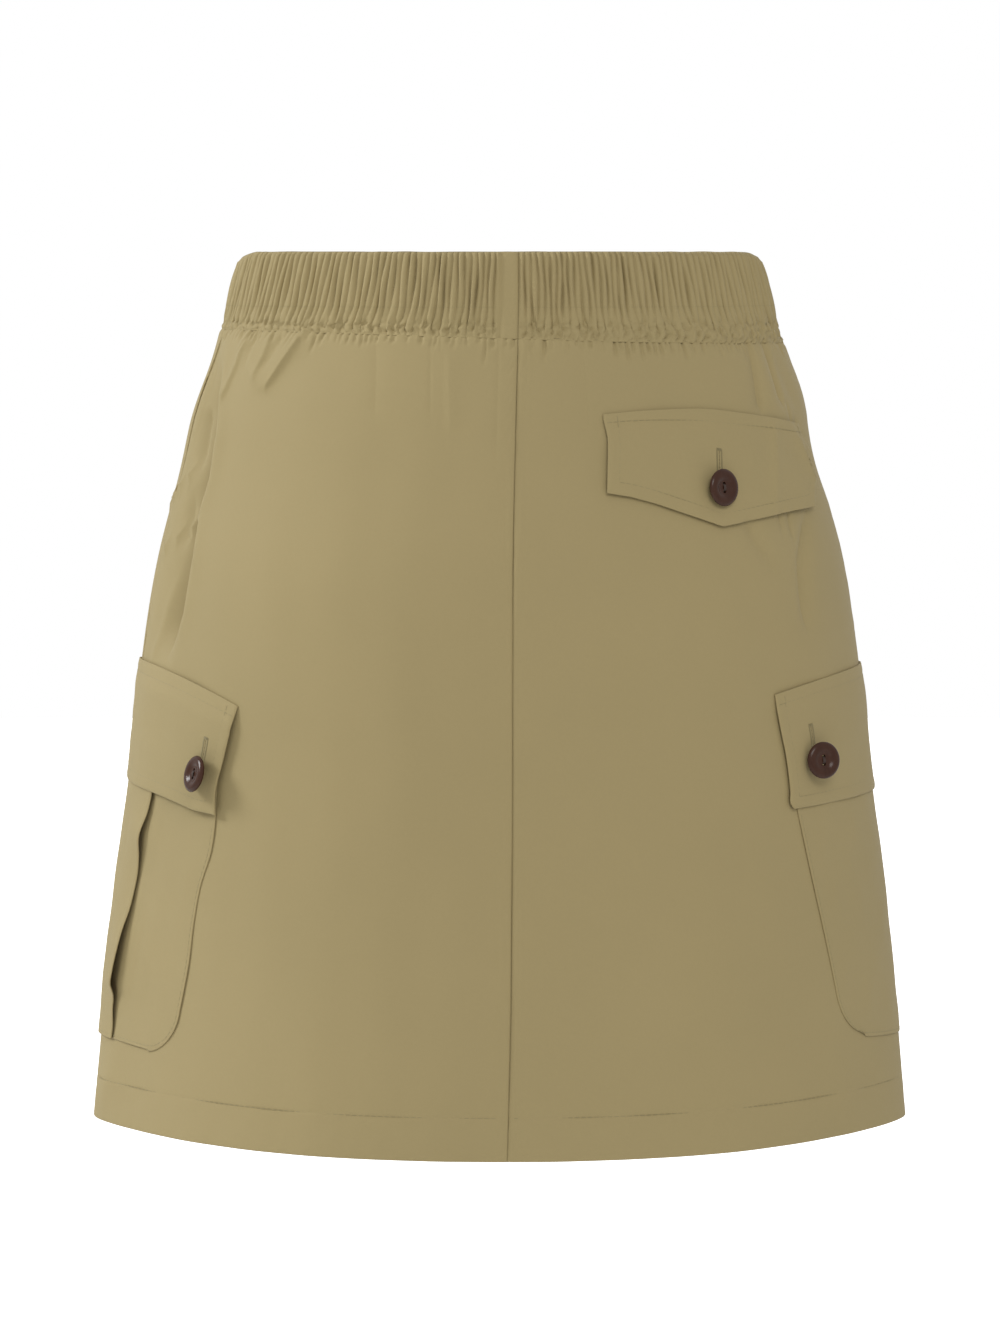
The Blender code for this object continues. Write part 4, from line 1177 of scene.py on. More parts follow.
def add_cargo_flap(pocket):
    """A cargo flap, sewn over its pocket's mouth."""
    settings = bpy.context.scene.skirt_cloth
    height = (pocket.flap_bottom - pocket.flap_top) * MM
    left, right = flap_ends(pocket)
    alongs = left + (right - left) * close_ends(CARGO_FLAP_GRID[0], right - left)
    downs = 1 - close_ends(CARGO_FLAP_GRID[1], height)

    def place(i, j):
        points = cargo_flap_surface(pocket, alongs[i], downs[j])
        return points, np.stack([alongs[i], -downs[j] * height], -1)

    piece = cloth_grid(f"cloth_flap_{pocket.name}", len(alongs), len(downs), place)
    give_wall(piece, settings.flap_thickness)
    finish_piece(piece, cotton(), [f"cargo_flap_{pocket.name}"])


def back_flap_surface(from_centre, down, extra=0.0):
    """Points of the back flap's face: down is a share of its height there."""
    columns = BACK_FLAP_COLUMNS
    places, tops, bottoms, sewn, stand = (MM * np.array(c, float) for c in zip(*columns))
    top = hermite(from_centre, places, tops)
    bottom, sewn, stand = (np.interp(from_centre, places, p) for p in (bottoms, sewn, stand))
    height = bottom - top
    drop = top + height * down
    thickness = bpy.context.scene.skirt_cloth.flap_thickness
    lift = thickness + sewn + (stand - sewn) * np.minimum(down / BACK_FLAP_RISEN, 1)
    from_inner, from_outer = from_centre - places[0], places[-1] - from_centre
    from_edge = np.minimum(np.minimum(from_inner, from_outer), (1 - down) * height)
    lift = flap_finish(lift, np.maximum(from_edge, 0), down * height)
    soft = uneven(BACK_FLAP_SOFT, from_centre, down * height)
    lift = lift + soft * ease(3 * down) + extra
    rising = np.clip(from_inner / LEAN_REACH, 0, 1)
    from_centre = from_centre - TOP_LEAN * (1 - rising) ** 2 * ease(1 - down / 0.35)
    bulge = np.clip(1 - (places[-1] - from_centre) / LEAN_REACH, 0, 1) ** 2
    bulge = bulge * (-4 + 9.5 * ease(down / 0.55) - 5 * ease((down - 0.5) / 0.5)) * MM
    from_centre = from_centre + bulge
    back = back_length(drop) / 2 - from_centre
    return surface(way_at(1, back, drop), drop, lift)


def add_back_flap():
    """The pointed flap on the wearer's right, which closes a pocket inside the skirt."""
    settings = bpy.context.scene.skirt_cloth
    left, right = (BACK_FLAP_COLUMNS[k].from_centre * MM for k in (0, -1))
    alongs = left + (right - left) * close_ends(BACK_FLAP_GRID[0], right - left)
    tallest = max((c.bottom - c.top) * MM for c in BACK_FLAP_COLUMNS)
    downs = 1 - close_ends(BACK_FLAP_GRID[1], tallest)

    def place(i, j):
        points = back_flap_surface(alongs[i], downs[j])
        return points, np.stack([alongs[i], -downs[j] * tallest], -1)

    piece = cloth_grid("cloth_back_flap", len(alongs), len(downs), place)
    give_wall(piece, settings.flap_thickness)
    finish_piece(piece, cotton(), ["back_pocket_flap"])


# ---------------------------------------------------------------- buttons
# How a button grows from its back: reach as a share of its diameter, height as a share of
# its thickness, up the outside of the rim and down into the dished middle.
ButtonStep = namedtuple("ButtonStep", "reach height")
BUTTON_BACK = 0.35  # radius of its flat back, as a share of its diameter
BUTTON_FIRST = 0.02  # the first step's height
BUTTON_STEPS = [
    ButtonStep(0.43, 0.06),
    ButtonStep(0.475, 0.22),
    ButtonStep(0.496, 0.40),
    ButtonStep(0.498, 0.54),
    ButtonStep(0.48, 0.72),
    ButtonStep(0.445, 0.87),
    ButtonStep(0.40, 0.97),
    ButtonStep(0.355, 1.00),
    ButtonStep(0.31, 0.97),
    ButtonStep(0.265, 0.89),
    ButtonStep(0.225, 0.76),
    ButtonStep(0.19, 0.66),
    ButtonStep(0.14, 0.62),
]
BUTTON_SIDES = 56
SMOOTH_UNDER = math.radians(35)
STRANDS = (-0.42, -0.14, 0.14, 0.42)  # millimetres aside
STRAND_THICKNESS = 0.42 * MM
BUTTON_NODES = {
    "button_back_pocket": "button_back",
    "button_left_rear": "button_left_rear_resin",
    "button_left_front": "button_left_front_resin",
    "button_right_rear": "button_right_rear_resin",
    "button_right_front": "button_right_front_resin",
}


def grown_button():
    """One button on its back at the origin, its holes one above the other along Y."""
    settings = bpy.context.scene.skirt_buttons
    across, thick = settings.across, settings.thick
    first = BUTTON_FIRST * thick
    button = added(
        bpy.ops.mesh.primitive_cylinder_add, (0, 0, first / 2), vertices=BUTTON_SIDES,
        radius=BUTTON_BACK * across, depth=first,
    )
    bpy.ops.object.mode_set(mode="EDIT")
    bpy.ops.mesh.select_mode(type="FACE")
    bpy.ops.mesh.select_all(action="DESELECT")
    bpy.ops.object.mode_set(mode="OBJECT")
    top = max(button.data.polygons, key=lambda face: face.center.z)
    top.select = True
    bpy.ops.object.mode_set(mode="EDIT")
    reach, height = BUTTON_BACK * across, first
    for step in BUTTON_STEPS:
        rise = step.height * thick - height
        bpy.ops.mesh.extrude_region_move(TRANSFORM_OT_translate={"value": (0, 0, rise)})
        grow = step.reach * across / reach
        bpy.ops.transform.resize(value=(grow, grow, 1), center_override=(0, 0, 0))
        reach, height = step.reach * across, step.height * thick
    bpy.ops.object.mode_set(mode="OBJECT")
    for side in (-1, 1):
        cutter = added(
            bpy.ops.mesh.primitive_cylinder_add, (0, side * settings.hole_pitch / 2, 0),
            vertices=20, radius=settings.hole / 2, depth=4 * thick,
        )
        drill = button.modifiers.new("drill", "BOOLEAN")
        drill.object = cutter
        bpy.context.view_layer.objects.active = button
        bpy.ops.object.modifier_apply(modifier=drill.name)
        bpy.data.objects.remove(cutter)
    bpy.ops.object.select_all(action="DESELECT")
    button.select_set(True)
    bpy.ops.object.shade_smooth_by_angle(angle=SMOOTH_UNDER)
    return button


def button_place(node):
    """Where a button lies: from its own frame, with its back at height 0, to the skirt's."""
    points = np.array([v.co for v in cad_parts[node].data.vertices])
    axes = np.linalg.svd(points - points.mean(0), full_matrices=False)[2]
    out = Vector(axes[2])
    low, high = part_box(node)
    centre = (low + high) / 2
    if out.x * centre.x + out.y * centre.y < 0:
        out = -out
    up = (Vector((0, 0, 1)) - out.z * out).normalized()
    right = up.cross(out)
    along = points @ np.array(out)
    turned = [points @ np.array(v) for v in (right, up)]
    middle = [(t.min() + t.max()) / 2 for t in turned]
    place = Matrix((right, up, out)).transposed().to_4x4()
    place.translation = middle[0] * right + middle[1] * up + along.min() * out
    return place


def copied(source, name, place):
    """A copy of source with its own mesh, placed in it."""
    mesh = source.data.copy()
    mesh.transform(place)
    piece = bpy.data.objects.new(name, mesh)
    mesh.name = name
    bpy.context.scene.collection.objects.link(piece)
    return piece


def thread_curve(points, thickness):
    """A mesh thread along a short Bezier curve, given as (place, handle) at its two ends."""
    thread = added(bpy.ops.curve.primitive_bezier_curve_add)
    spline = thread.data.splines[0]
    for end, (spot, handle) in zip(spline.bezier_points, points):
        end.handle_left_type = end.handle_right_type = "FREE"
        end.co = spot
        end.handle_left = end.handle_right = handle
    thread.data.bevel_depth = thickness / 2
    thread.data.bevel_resolution = 2
    thread.data.resolution_u = 10
    bpy.ops.object.convert(target="MESH")
    return bpy.context.object


def sewn_thread():
    """The thread that holds a button: strands from hole to hole, and its shank behind."""
    settings = bpy.context.scene.skirt_buttons
    floor = BUTTON_STEPS[-1].height * settings.thick
    side = settings.hole_pitch / 2
    strands = []
    for aside in STRANDS:
        ends = []
        for y in (-side, side):
            foot = aside * MM, y, floor - 1.2 * MM
            ends.append((foot, (1.4 * aside * MM, 0.8 * y, floor + 1.0 * MM)))
        strands.append(thread_curve(ends, STRAND_THICKNESS))
    shank = added(
        bpy.ops.mesh.primitive_cylinder_add, (0, 0, -0.4 * MM), vertices=16, radius=1.2 * MM,
        depth=1.6 * MM,
    )
    bpy.ops.object.transform_apply(location=True)
    bpy.ops.object.select_all(action="DESELECT")
    for part in [*strands, shank]:
        part.select_set(True)
    bpy.context.view_layer.objects.active = shank
    bpy.ops.object.join()
    bpy.context.object.data.shade_smooth()
    return bpy.context.object


def add_buttons():
    """Five buttons on their nodes, each with its thread."""
    button, thread = grown_button(), sewn_thread()
    for node, name in BUTTON_NODES.items():
        place = button_place(node)
        finish_piece(copied(button, name, place), resin(), [node])
        thread_name = name.replace("button", "button_thread")
        finish_piece(copied(thread, thread_name, place), brown_thread())
    for used in (button, thread):
        bpy.data.objects.remove(used)


# ---------------------------------------------------------------- sewing
STITCH_SPACE = 0.5 * MM  # between one stitch and the next
THREAD_LIFT = 0.02 * MM  # above the cloth
STITCH_FULLNESS = 0.6  # the smaller, the blunter a stitch's ends
CASING_THREAD = 0.24 * MM
POCKET_SEWN = 60 * MM  # the pocket's stitching starts this far below its mouth
# The pocket stitches' lift over its section: distance from its middle, and lift.
POCKET_STITCH_LIFTS = [(0, 0.66), (12, 0.9), (24, 1.65), (41, 1.75), (43, 0.66)]
FLAP_STITCH_TOP = 0.03  # share of the flap's height where its edge stitching starts

HOLE_THREAD = 0.42 * MM
HOLE_PITCH = 0.52 * MM  # from one buttonhole stitch to the next
HOLE_PAST = 1.5 * MM  # a buttonhole goes on this far past its button's middle
HOLE_SIDES = (0.75 * MM, 1.8 * MM)  # its side stitches' two ends, from its middle
HOLE_BAR = 1.7 * MM  # and its end bars'
HOLE_BAR_ROWS = np.array([-0.45, 0, 0.45]) * MM
# thickness of the dark strip of painted shade along a buttonhole's slit
SLIT_SHADE_THICKNESS = 0.3 * MM


def stitch_shape():
    """Corners and faces of one stitch: a slim grain of length 1 along X and thickness 1."""
    grain = added(bpy.ops.mesh.primitive_uv_sphere_add, segments=6, ring_count=5, radius=0.5)
    corners = np.array([v.co for v in grain.data.vertices])
    faces = [list(p.vertices) for p in grain.data.polygons]
    bpy.data.objects.remove(grain)
    corners = corners[:, [2, 0, 1]]
    corners[:, 0] = np.sign(corners[:, 0]) * (np.abs(2 * corners[:, 0]) ** STITCH_FULLNESS) / 2
    return corners, faces


def sew(name, starts, ends, outs, thickness=None, finish="khaki_thread"):
    """Stitches between these starts and ends, with outs pointing out of the cloth."""
    thickness = thickness or bpy.context.scene.skirt_sewing.thread
    corners, faces = stitch_shape()
    along = ends - starts
    length = np.linalg.norm(along, axis=1, keepdims=True)
    along = along / length
    aside = np.cross(outs, along)
    aside /= np.linalg.norm(aside, axis=1, keepdims=True)
    up = np.cross(along, aside)
    middle = (starts + ends) / 2
    points = (
        middle[:, None]
        + corners[None, :, :1] * (along * length)[:, None]
        + corners[None, :, 1:2] * (thickness * aside)[:, None]
        + corners[None, :, 2:] * (thickness * up)[:, None]
    ).reshape(-1, 3)
    count = len(corners)
    all_faces = [[v + count * k for v in face] for k in range(len(starts)) for face in faces]
    mesh = bpy.data.meshes.new(name)
    mesh.from_pydata(points.tolist(), [], all_faces)
    mesh.shade_smooth()
    piece = bpy.data.objects.new(name, mesh)
    bpy.context.scene.collection.objects.link(piece)
    finish_piece(piece, sewn_finish(finish))
    return piece


def sew_along(name, lower, upper):
    """A row of stitches along a line on the cloth, given as its points and those above them."""
    sewing = bpy.context.scene.skirt_sewing
    pitch = sewing.stitch + STITCH_SPACE
    travelled = np.concatenate([[0], np.cumsum(np.linalg.norm(np.diff(lower, axis=0), axis=1))])
    count = int(travelled[-1] / pitch)
    pitch = travelled[-1] / count
    middles = (np.arange(count) + 0.5) * pitch

    def at(line, places):
        return np.stack([np.interp(places, travelled, line[:, k]) for k in range(3)], -1)

    starts, ends = at(lower, middles - sewing.stitch / 2), at(lower, middles + sewing.stitch / 2)
    outs = at(upper, middles) - at(lower, middles)
    return sew(name, starts, ends, outs)


def line_through(corners, step):
    """Points every step or so along the straight lines between these corners."""
    corners = np.array(corners, float)
    points = [corners[:1]]
    for first, second in zip(corners, corners[1:]):
        count = max(2, int(np.linalg.norm(second - first) / step))
        points.append(first + (second - first) * np.arange(1, count + 1)[:, None] / count)
    return np.vstack(points)


def sew_hem():
    """One row round the hem, from the centre back seam to that seam."""
    way = np.linspace(0.252, 1.248, 1200)
    lift = THREAD_LIFT - 0.1 * MM
    lines = [surface(way, LENGTH - HEM_STITCH, lift + up) for up in (0, MM)]
    sew_along("stitches_hem", *lines)


def sew_elastic():
    """One stitch on each slope of the gathers, where the casing is sewn under the elastic."""
    g = np.arange(2, HALF_GATHERS - 1, dtype=float)
    foot = 0 * g + ELASTIC_FOOT
    starts, ends = (band_surface(g + f, foot, THREAD_LIFT)[0] for f in (0.15, 0.85))
    outs = band_surface(g + 0.5, foot, MM)[0] - band_surface(g + 0.5, foot)[0]
    sew("stitches_elastic", starts, ends, outs, thickness=CASING_THREAD)


def sew_cargo_pocket(pocket):
    """One row down a pocket's side, round its corners and its base, and up its other side."""
    inset = bpy.context.scene.skirt_sewing.pocket_inset
    height = (pocket.base - pocket.flap_top) * MM - POCKET_MOUTH
    straight = POCKET_REACH - POCKET_CORNER
    side = POCKET_REACH - inset
    turn = np.linspace(0, math.pi / 2, 30)
    radius = POCKET_CORNER - inset
    corner, corner_height = straight + radius * np.cos(turn), POCKET_CORNER - radius * np.sin(turn)
    up = np.linspace(height - POCKET_SEWN, POCKET_CORNER, 80)
    run = np.linspace(straight, -straight, 80)
    back = np.concatenate([0 * up + side, corner, run, -corner[::-1], 0 * up - side])
    above = np.concatenate([up, corner_height, 0 * run + inset, corner_height[::-1], up[::-1]])
    drop = edge_drop(pocket.base, pocket.base_fall, back) - above
    lift = MM * np.interp(-pocket.side * back / MM, *zip(*POCKET_STITCH_LIFTS))
    back = strayed(back, POCKET_REACH, POCKET_STRAYS[pocket.name], drop / MM)
    way = way_at(pocket.side, back, drop)
    lines = [surface(way, drop, lift + extra) for extra in (0, MM)]
    sew_along(f"stitches_pocket_{pocket.name}", *lines)


def sew_flap(name, flap_surface, height, rows):
    """Rows of stitches on a flap, along lines between corners given as (along, down)."""
    for row, corners in rows.items():
        scaled = line_through([(along, down * height) for along, down in corners], MM)
        along, down = scaled[:, 0], scaled[:, 1] / height
        lines = [flap_surface(along, down, THREAD_LIFT + extra) for extra in (0, MM)]
        sew_along(f"stitches_{name}_{row}", *lines)


def sew_cargo_flap(pocket):
    """A row along a cargo flap's free edges and one under its upper edge."""
    inset = bpy.context.scene.skirt_sewing.inset
    height = (pocket.flap_bottom - pocket.flap_top) * MM
    left, right = flap_ends(pocket)
    top, low, first, last = FLAP_STITCH_TOP, 1 - inset / height, left + inset, right - inset
    rows = {
        "edge": [(first, top), (first, low), (last, low), (last, top)],
        "top": [(left + MM, inset / height), (right - MM, inset / height)],
    }
    sew_flap(f"flap_{pocket.name}", functools.partial(cargo_flap_surface, pocket), height, rows)


def sew_back_flap():
    """A row along the back flap's free edges and one under its upper edge."""
    inset = bpy.context.scene.skirt_sewing.inset
    heights = {c.from_centre * MM: (c.bottom - c.top) * MM for c in BACK_FLAP_COLUMNS}
    places, sizes = list(heights), list(heights.values())
    left, right = places[0], places[-1]
    first, point, last = left + inset, BACK_FLAP_POINT, right - inset
    low = {x: 1 - inset / np.interp(x, places, sizes) for x in (first, point, last)}
    high = inset / np.interp(point, places, sizes)
    foot = [(x, low[x]) for x in (first, point, last)]
    rows = {
        "edge": [(first, FLAP_STITCH_TOP), *foot, (last, FLAP_STITCH_TOP)],
        "top": [(left + MM, high), (right - MM, high)],
    }
    sew_flap("back_flap", back_flap_surface, max(sizes), rows)


def sew_buttonhole(name, flap_surface, along, down, height):
    """A buttonhole up from the button's middle: two close rows of stitches, end bars, and a dark
    strip of painted shade down its slit.
    """
    length = bpy.context.scene.skirt_sewing.buttonhole
    rise = np.linspace(-HOLE_PAST, length - HOLE_PAST, round(length / HOLE_PITCH))
    starts, ends, outs = [], [], []

    def bar(near, far, level, lift):
        near, far = near + 0 * level, far + 0 * level
        spots = [flap_surface(along + x, down - level / height, lift) for x in (near, far)]
        above = flap_surface(along + (near + far) / 2, down - level / height, lift + MM)
        starts.append(spots[0])
        ends.append(spots[1])
        outs.append(above - (spots[0] + spots[1]) / 2)

    for side in (-1, 1):
        bar(*(side * end for end in HOLE_SIDES), rise, 0.03 * MM)
    for end in (rise[0] - 0.5 * MM, rise[-1] + 0.5 * MM):
        bar(-HOLE_BAR, HOLE_BAR, end + HOLE_BAR_ROWS, 0.06 * MM)
    bars = [np.vstack(v) for v in (starts, ends, outs)]
    sew(f"buttonhole_{name}", *bars, thickness=HOLE_THREAD, finish="buttonhole_thread")

    # A dark strip of painted shade runs down the slit: the shadow in the gap between the
    # buttonhole's lips.
    slit = np.linspace(rise[0], rise[-1], 12)
    along, down = along + 0 * slit, down - slit / height
    line = flap_surface(along, down, -THREAD_LIFT)
    outs = (flap_surface(along, down, MM) - line)[:-1]
    slit_name = f"buttonhole_slit_{name}"
    sew(slit_name, line[:-1], line[1:], outs, thickness=SLIT_SHADE_THICKNESS, finish="cut_cloth")


def sew_buttonholes():
    """Five buttonholes: two in each cargo flap and one in the back flap."""
    for pocket in CARGO_POCKETS:
        height = (pocket.flap_bottom - pocket.flap_top) * MM
        flap_surface = functools.partial(cargo_flap_surface, pocket)
        down = pocket.button_down * MM / height
        for row, back in (("rear", 1), ("front", -1)):
            along = -pocket.side * back * pocket.button_out * MM
            sew_buttonhole(f"{pocket.name}_{row}", flap_surface, along, down, height)
    height = max((c.bottom - c.top) * MM for c in BACK_FLAP_COLUMNS)
    down = BACK_BUTTON_DOWN / height
    sew_buttonhole("back", back_flap_surface, BACK_BUTTON_OUT, down, height)


# ---------------------------------------------------------------- finishes
def new_group(name, inputs, outputs):
    """An empty shader node group with these sockets, its input and output nodes."""
    group = bpy.data.node_groups.new(name, "ShaderNodeTree")
    for label, default in inputs.items():
        socket = group.interface.new_socket(label, in_out="INPUT", socket_type="NodeSocketFloat")
        socket.default_value = default
    for label in outputs:
        group.interface.new_socket(label, in_out="OUTPUT", socket_type="NodeSocketFloat")
    return group, group.nodes.new("NodeGroupInput"), group.nodes.new("NodeGroupOutput")


def math_node(tree, operation, first, second=None, third=None):
    """A Math node's result, from sockets and numbers."""
    node = tree.nodes.new("ShaderNodeMath")
    node.operation = operation
    for k, value in enumerate((first, second, third)):
        if isinstance(value, bpy.types.NodeSocket):
            tree.links.new(value, node.inputs[k])
        elif value is not None:
            node.inputs[k].default_value = value
    return node.outputs[0]


def set_inputs(node, values):
    """Gives these inputs of a node their values."""
    for label, value in values.items():
        node.inputs[label].default_value = value


def stretched_noise(tree, place, scale, values):
    """Noise over these coordinates, closer by so much in each direction."""
    stretch, noise = (tree.nodes.new(f"ShaderNode{kind}") for kind in ("Mapping", "TexNoise"))
    set_inputs(stretch, {"Scale": scale})
    set_inputs(noise, {"Scale": 1, **values})
    tree.links.new(place, stretch.inputs["Vector"])
    tree.links.new(stretch.outputs[0], noise.inputs["Vector"])
    return noise.outputs["Fac"]


@functools.cache
def twill_group():
    """Raised diagonal lines of a twill on the cloth's own UVs, which are in metres."""
    group, given, made = new_group("twill_weave", {"Pitch": 0.5 * MM}, ["Height"])
    uv = group.nodes.new("ShaderNodeUVMap")
    uv.uv_map = "cloth"
    split = group.nodes.new("ShaderNodeSeparateXYZ")
    group.links.new(uv.outputs[0], split.inputs[0])
    pitch = given.outputs["Pitch"]
    slant = math_node(group, "ADD", split.outputs[0], split.outputs[1])
    diagonal = math_node(group, "DIVIDE", slant, pitch)
    diagonal = math_node(group, "SINE", math_node(group, "MULTIPLY", diagonal, TURN))
    across = math_node(group, "DIVIDE", split.outputs[0], pitch)
    yarns = math_node(group, "SINE", math_node(group, "MULTIPLY", across, 2 * TURN))
    slub = stretched_noise(group, uv.outputs[0], (1400, 180, 1), {})
    height = math_node(group, "MULTIPLY_ADD", diagonal, 0.5, slub)
    height = math_node(group, "MULTIPLY_ADD", yarns, 0.2, height)
    group.links.new(height, made.inputs["Height"])
    return group


@functools.cache
def tone_group():
    """A soft mask for slight differences of shade: broad clouds and fine flecks."""
    group, given, made = new_group("soft_tone", {"Cloud scale": 9.0, "Fleck scale": 700.0}, ["Mask"])
    place = group.nodes.new("ShaderNodeTexCoord")
    cloud, fleck = (group.nodes.new("ShaderNodeTexNoise") for _ in range(2))
    for texture, label in ((cloud, "Cloud scale"), (fleck, "Fleck scale")):
        group.links.new(place.outputs["Object"], texture.inputs["Vector"])
        group.links.new(given.outputs[label], texture.inputs["Scale"])
    set_inputs(cloud, {"Detail": 3})
    mask = math_node(group, "MULTIPLY_ADD", cloud.outputs["Fac"], 0.9, 0.05)
    mask = math_node(group, "MULTIPLY_ADD", fleck.outputs["Fac"], 0.35, mask)
    mask = math_node(group, "SUBTRACT", mask, 0.17)
    group.links.new(mask, made.inputs["Mask"])
    return group


def new_material(name):
    material = bpy.data.materials.new(name)
    material.use_nodes = True
    return material, material.node_tree, material.node_tree.nodes["Principled BSDF"]


def placed_group(tree, group, values):
    """Result of a node group in a material, with that material's own values."""
    node = tree.nodes.new("ShaderNodeGroup")
    node.node_tree = group
    set_inputs(node, values)
    return node.outputs[0]


def mixed_colour(tree, mask, low, high):
    mix = tree.nodes.new("ShaderNodeMix")
    mix.data_type = "RGBA"
    tree.links.new(mask, mix.inputs["Factor"])
    set_inputs(mix, {"A": (*low, 1), "B": (*high, 1)})
    return mix.outputs["Result"]


def link_bump(tree, shader, height, distance, strength):
    relief_node = tree.nodes.new("ShaderNodeBump")
    set_inputs(relief_node, {"Distance": distance, "Strength": strength})
    tree.links.new(height, relief_node.inputs["Height"])
    tree.links.new(relief_node.outputs[0], shader.inputs["Normal"])


@functools.cache
def cotton():
    """Khaki cotton twill: soft clouds of shade, fine diagonal weave, a little sheen."""
    settings = bpy.context.scene.skirt_cloth
    material, tree, shader = new_material("khaki_twill")
    tone = placed_group(tree, tone_group(), {})
    colour = mixed_colour(tree, tone, settings.shade, settings.colour)
    tree.links.new(colour, shader.inputs["Base Color"])
    set_inputs(shader, {"Roughness": 0.72, "Specular IOR Level": 0.25})
    set_inputs(shader, {"Sheen Weight": 0.05, "Sheen Roughness": 0.5})
    weave = placed_group(tree, twill_group(), {"Pitch": settings.weave})
    link_bump(tree, shader, weave, 0.05 * MM, 0.5)
    return material


def plain_thread(name, colour, roughness):
    """Twisted sewing thread: its colour varies a little along it."""
    material, tree, shader = new_material(name)
    tone = placed_group(tree, tone_group(), {"Cloud scale": 60.0, "Fleck scale": 2500.0})
    dark = [0.75 * c for c in colour]
    tree.links.new(mixed_colour(tree, tone, dark, colour), shader.inputs["Base Color"])
    set_inputs(shader, {"Roughness": roughness})
    link_bump(tree, shader, tone, 0.05 * MM, 0.6)
    return material


# Finishes in the sewing thread's colour: share of its brightness, and roughness. The darkest is not
# thread but painted shade: the shadow down a buttonhole's slit.
SEWN = {"khaki_thread": (1, 0.6), "buttonhole_thread": (0.9, 0.6), "cut_cloth": (0.4, 0.9)}


@functools.cache
def sewn_finish(name):
    """One of those finishes, made once."""
    share, roughness = SEWN[name]
    colour = [share * c for c in bpy.context.scene.skirt_sewing.colour]
    return plain_thread(name, colour, roughness)


@functools.cache
def brown_thread():
    return plain_thread("brown_thread", (0.05, 0.028, 0.02), 0.65)


@functools.cache
def resin():
    """Brown button resin: cloudy streaks under a half-gloss surface."""
    settings = bpy.context.scene.skirt_buttons
    material, tree, shader = new_material("brown_resin")
    place = tree.nodes.new("ShaderNodeTexCoord")
    cloudy = {"Detail": 5, "Distortion": 1.2}
    streaks = stretched_noise(tree, place.outputs["Object"], (260, 260, 90), cloudy)
    colour = mixed_colour(tree, streaks, settings.colour, settings.streak)
    tree.links.new(colour, shader.inputs["Base Color"])
    rough = math_node(tree, "MULTIPLY_ADD", streaks, 0.12, 0.16)
    tree.links.new(rough, shader.inputs["Roughness"])
    set_inputs(shader, {"Specular IOR Level": 0.22})
    link_bump(tree, shader, streaks, 0.05 * MM, 0.25)
    return material


# ---------------------------------------------------------------- studio
def add_soft_light(name, place, size, power, colour):
    """A round soft light that faces the skirt."""
    light = bpy.data.lights.new(name, "AREA")
    light.shape = "DISK"
    light.size = size
    light.energy = power
    light.color = colour
    thing = bpy.data.objects.new(name, light)
    bpy.context.scene.collection.objects.link(thing)
    thing.location = place
    facing = Vector(LIT_MIDDLE) - thing.location
    thing.rotation_euler = facing.to_track_quat("-Z", "Y").to_euler()


CAMERA_AWAY = 2.5  # behind the skirt
CAMERA_ABOVE = 0.6 * MM  # above the waistband's top edge
CAMERA_TILT = math.radians(4.745)  # downwards
PICTURE_HEIGHT = 1334  # pixels
FOCAL_PIXELS = 5031
SENSOR = 36  # millimetres

# Soft round lights: place, diameter and colour. Their powers are settings.
LIGHTS = {
    "key": ((-2.6, 0.1, 1.3), 1.0, (0.98, 1, 1.02)),
    "fill": ((0.7, -2.7, 1.5), 1.4, (1, 0.99, 0.98)),
    "front": ((0.6, 2.6, 1.2), 1.5, (1, 1, 1)),
}
LIT_MIDDLE = (0, 0, -0.2)
FLOOR_RADIUS = 9


def add_studio():
    """The pale floor, the lights, the white surroundings and the camera."""
    settings = bpy.context.scene.skirt_studio
    scene = bpy.context.scene
    floor = added(
        bpy.ops.mesh.primitive_circle_add, (0, 0, settings.floor), vertices=96,
        radius=FLOOR_RADIUS, fill_type="NGON",
    )
    floor.name = "studio_floor"
    bpy.ops.object.transform_apply(location=True)
    material, tree, shader = new_material("pale_floor")
    set_inputs(shader, {"Base Color": (0.9, 0.9, 0.89, 1), "Roughness": 0.9})
    set_inputs(shader, {"Emission Color": (1, 1, 1, 1)})
    path = tree.nodes.new("ShaderNodeLightPath")
    tree.links.new(path.outputs["Is Camera Ray"], shader.inputs["Emission Strength"])
    floor.data.materials.append(material)

    for name, (place, size, colour) in LIGHTS.items():
        add_soft_light(f"{name}_light", place, size, getattr(settings, name), colour)

    world = bpy.data.worlds.new("studio_white")
    world.use_nodes = True
    tree = world.node_tree
    background = tree.nodes["Background"]
    set_inputs(background, {"Color": (1, 1, 1, 1)})
    path = tree.nodes.new("ShaderNodeLightPath")
    ambient = settings.ambient
    seen = path.outputs["Is Camera Ray"]
    strength = math_node(tree, "MULTIPLY_ADD", seen, 1 - ambient, ambient)
    tree.links.new(strength, background.inputs["Strength"])
    scene.world = world
    scene.view_settings.view_transform = "Standard"

    camera = bpy.data.cameras.new("camera")
    camera.sensor_width = SENSOR
    camera.lens = FOCAL_PIXELS / PICTURE_HEIGHT * SENSOR
    thing = bpy.data.objects.new("camera", camera)
    scene.collection.objects.link(thing)
    thing.location = (0, -CAMERA_AWAY, TOP_LEVEL + CAMERA_ABOVE)
    thing.rotation_euler = (math.pi / 2 - CAMERA_TILT, 0, 0)
    scene.camera = thing


# ---------------------------------------------------------------- the add-on's parts
PANELS = [
    ("cloth_back_left", "back_left_panel", 0.5, 0.25, 370),
    ("cloth_back_right", "back_right_panel", 0.25, 0.0, 370),
    ("cloth_front", "front_panel", 1.0, 0.5, 350),
]
ALLOWANCES = {"allowance_centre_back": 0, "allowance_right": 1, "allowance_left": -1}


class AddPanels(bpy.types.Operator):
    """Makes the two back panels and the front panel, hemmed, with their seam allowances"""

    bl_idname = "skirt.panels"
    bl_label = "Panels"
    bl_options = {"REGISTER", "UNDO"}

    def execute(self, context):
        for panel in PANELS:
            add_panel(*panel)
        for name, side in ALLOWANCES.items():
            add_seam_allowance(name, side)
        return {"FINISHED"}


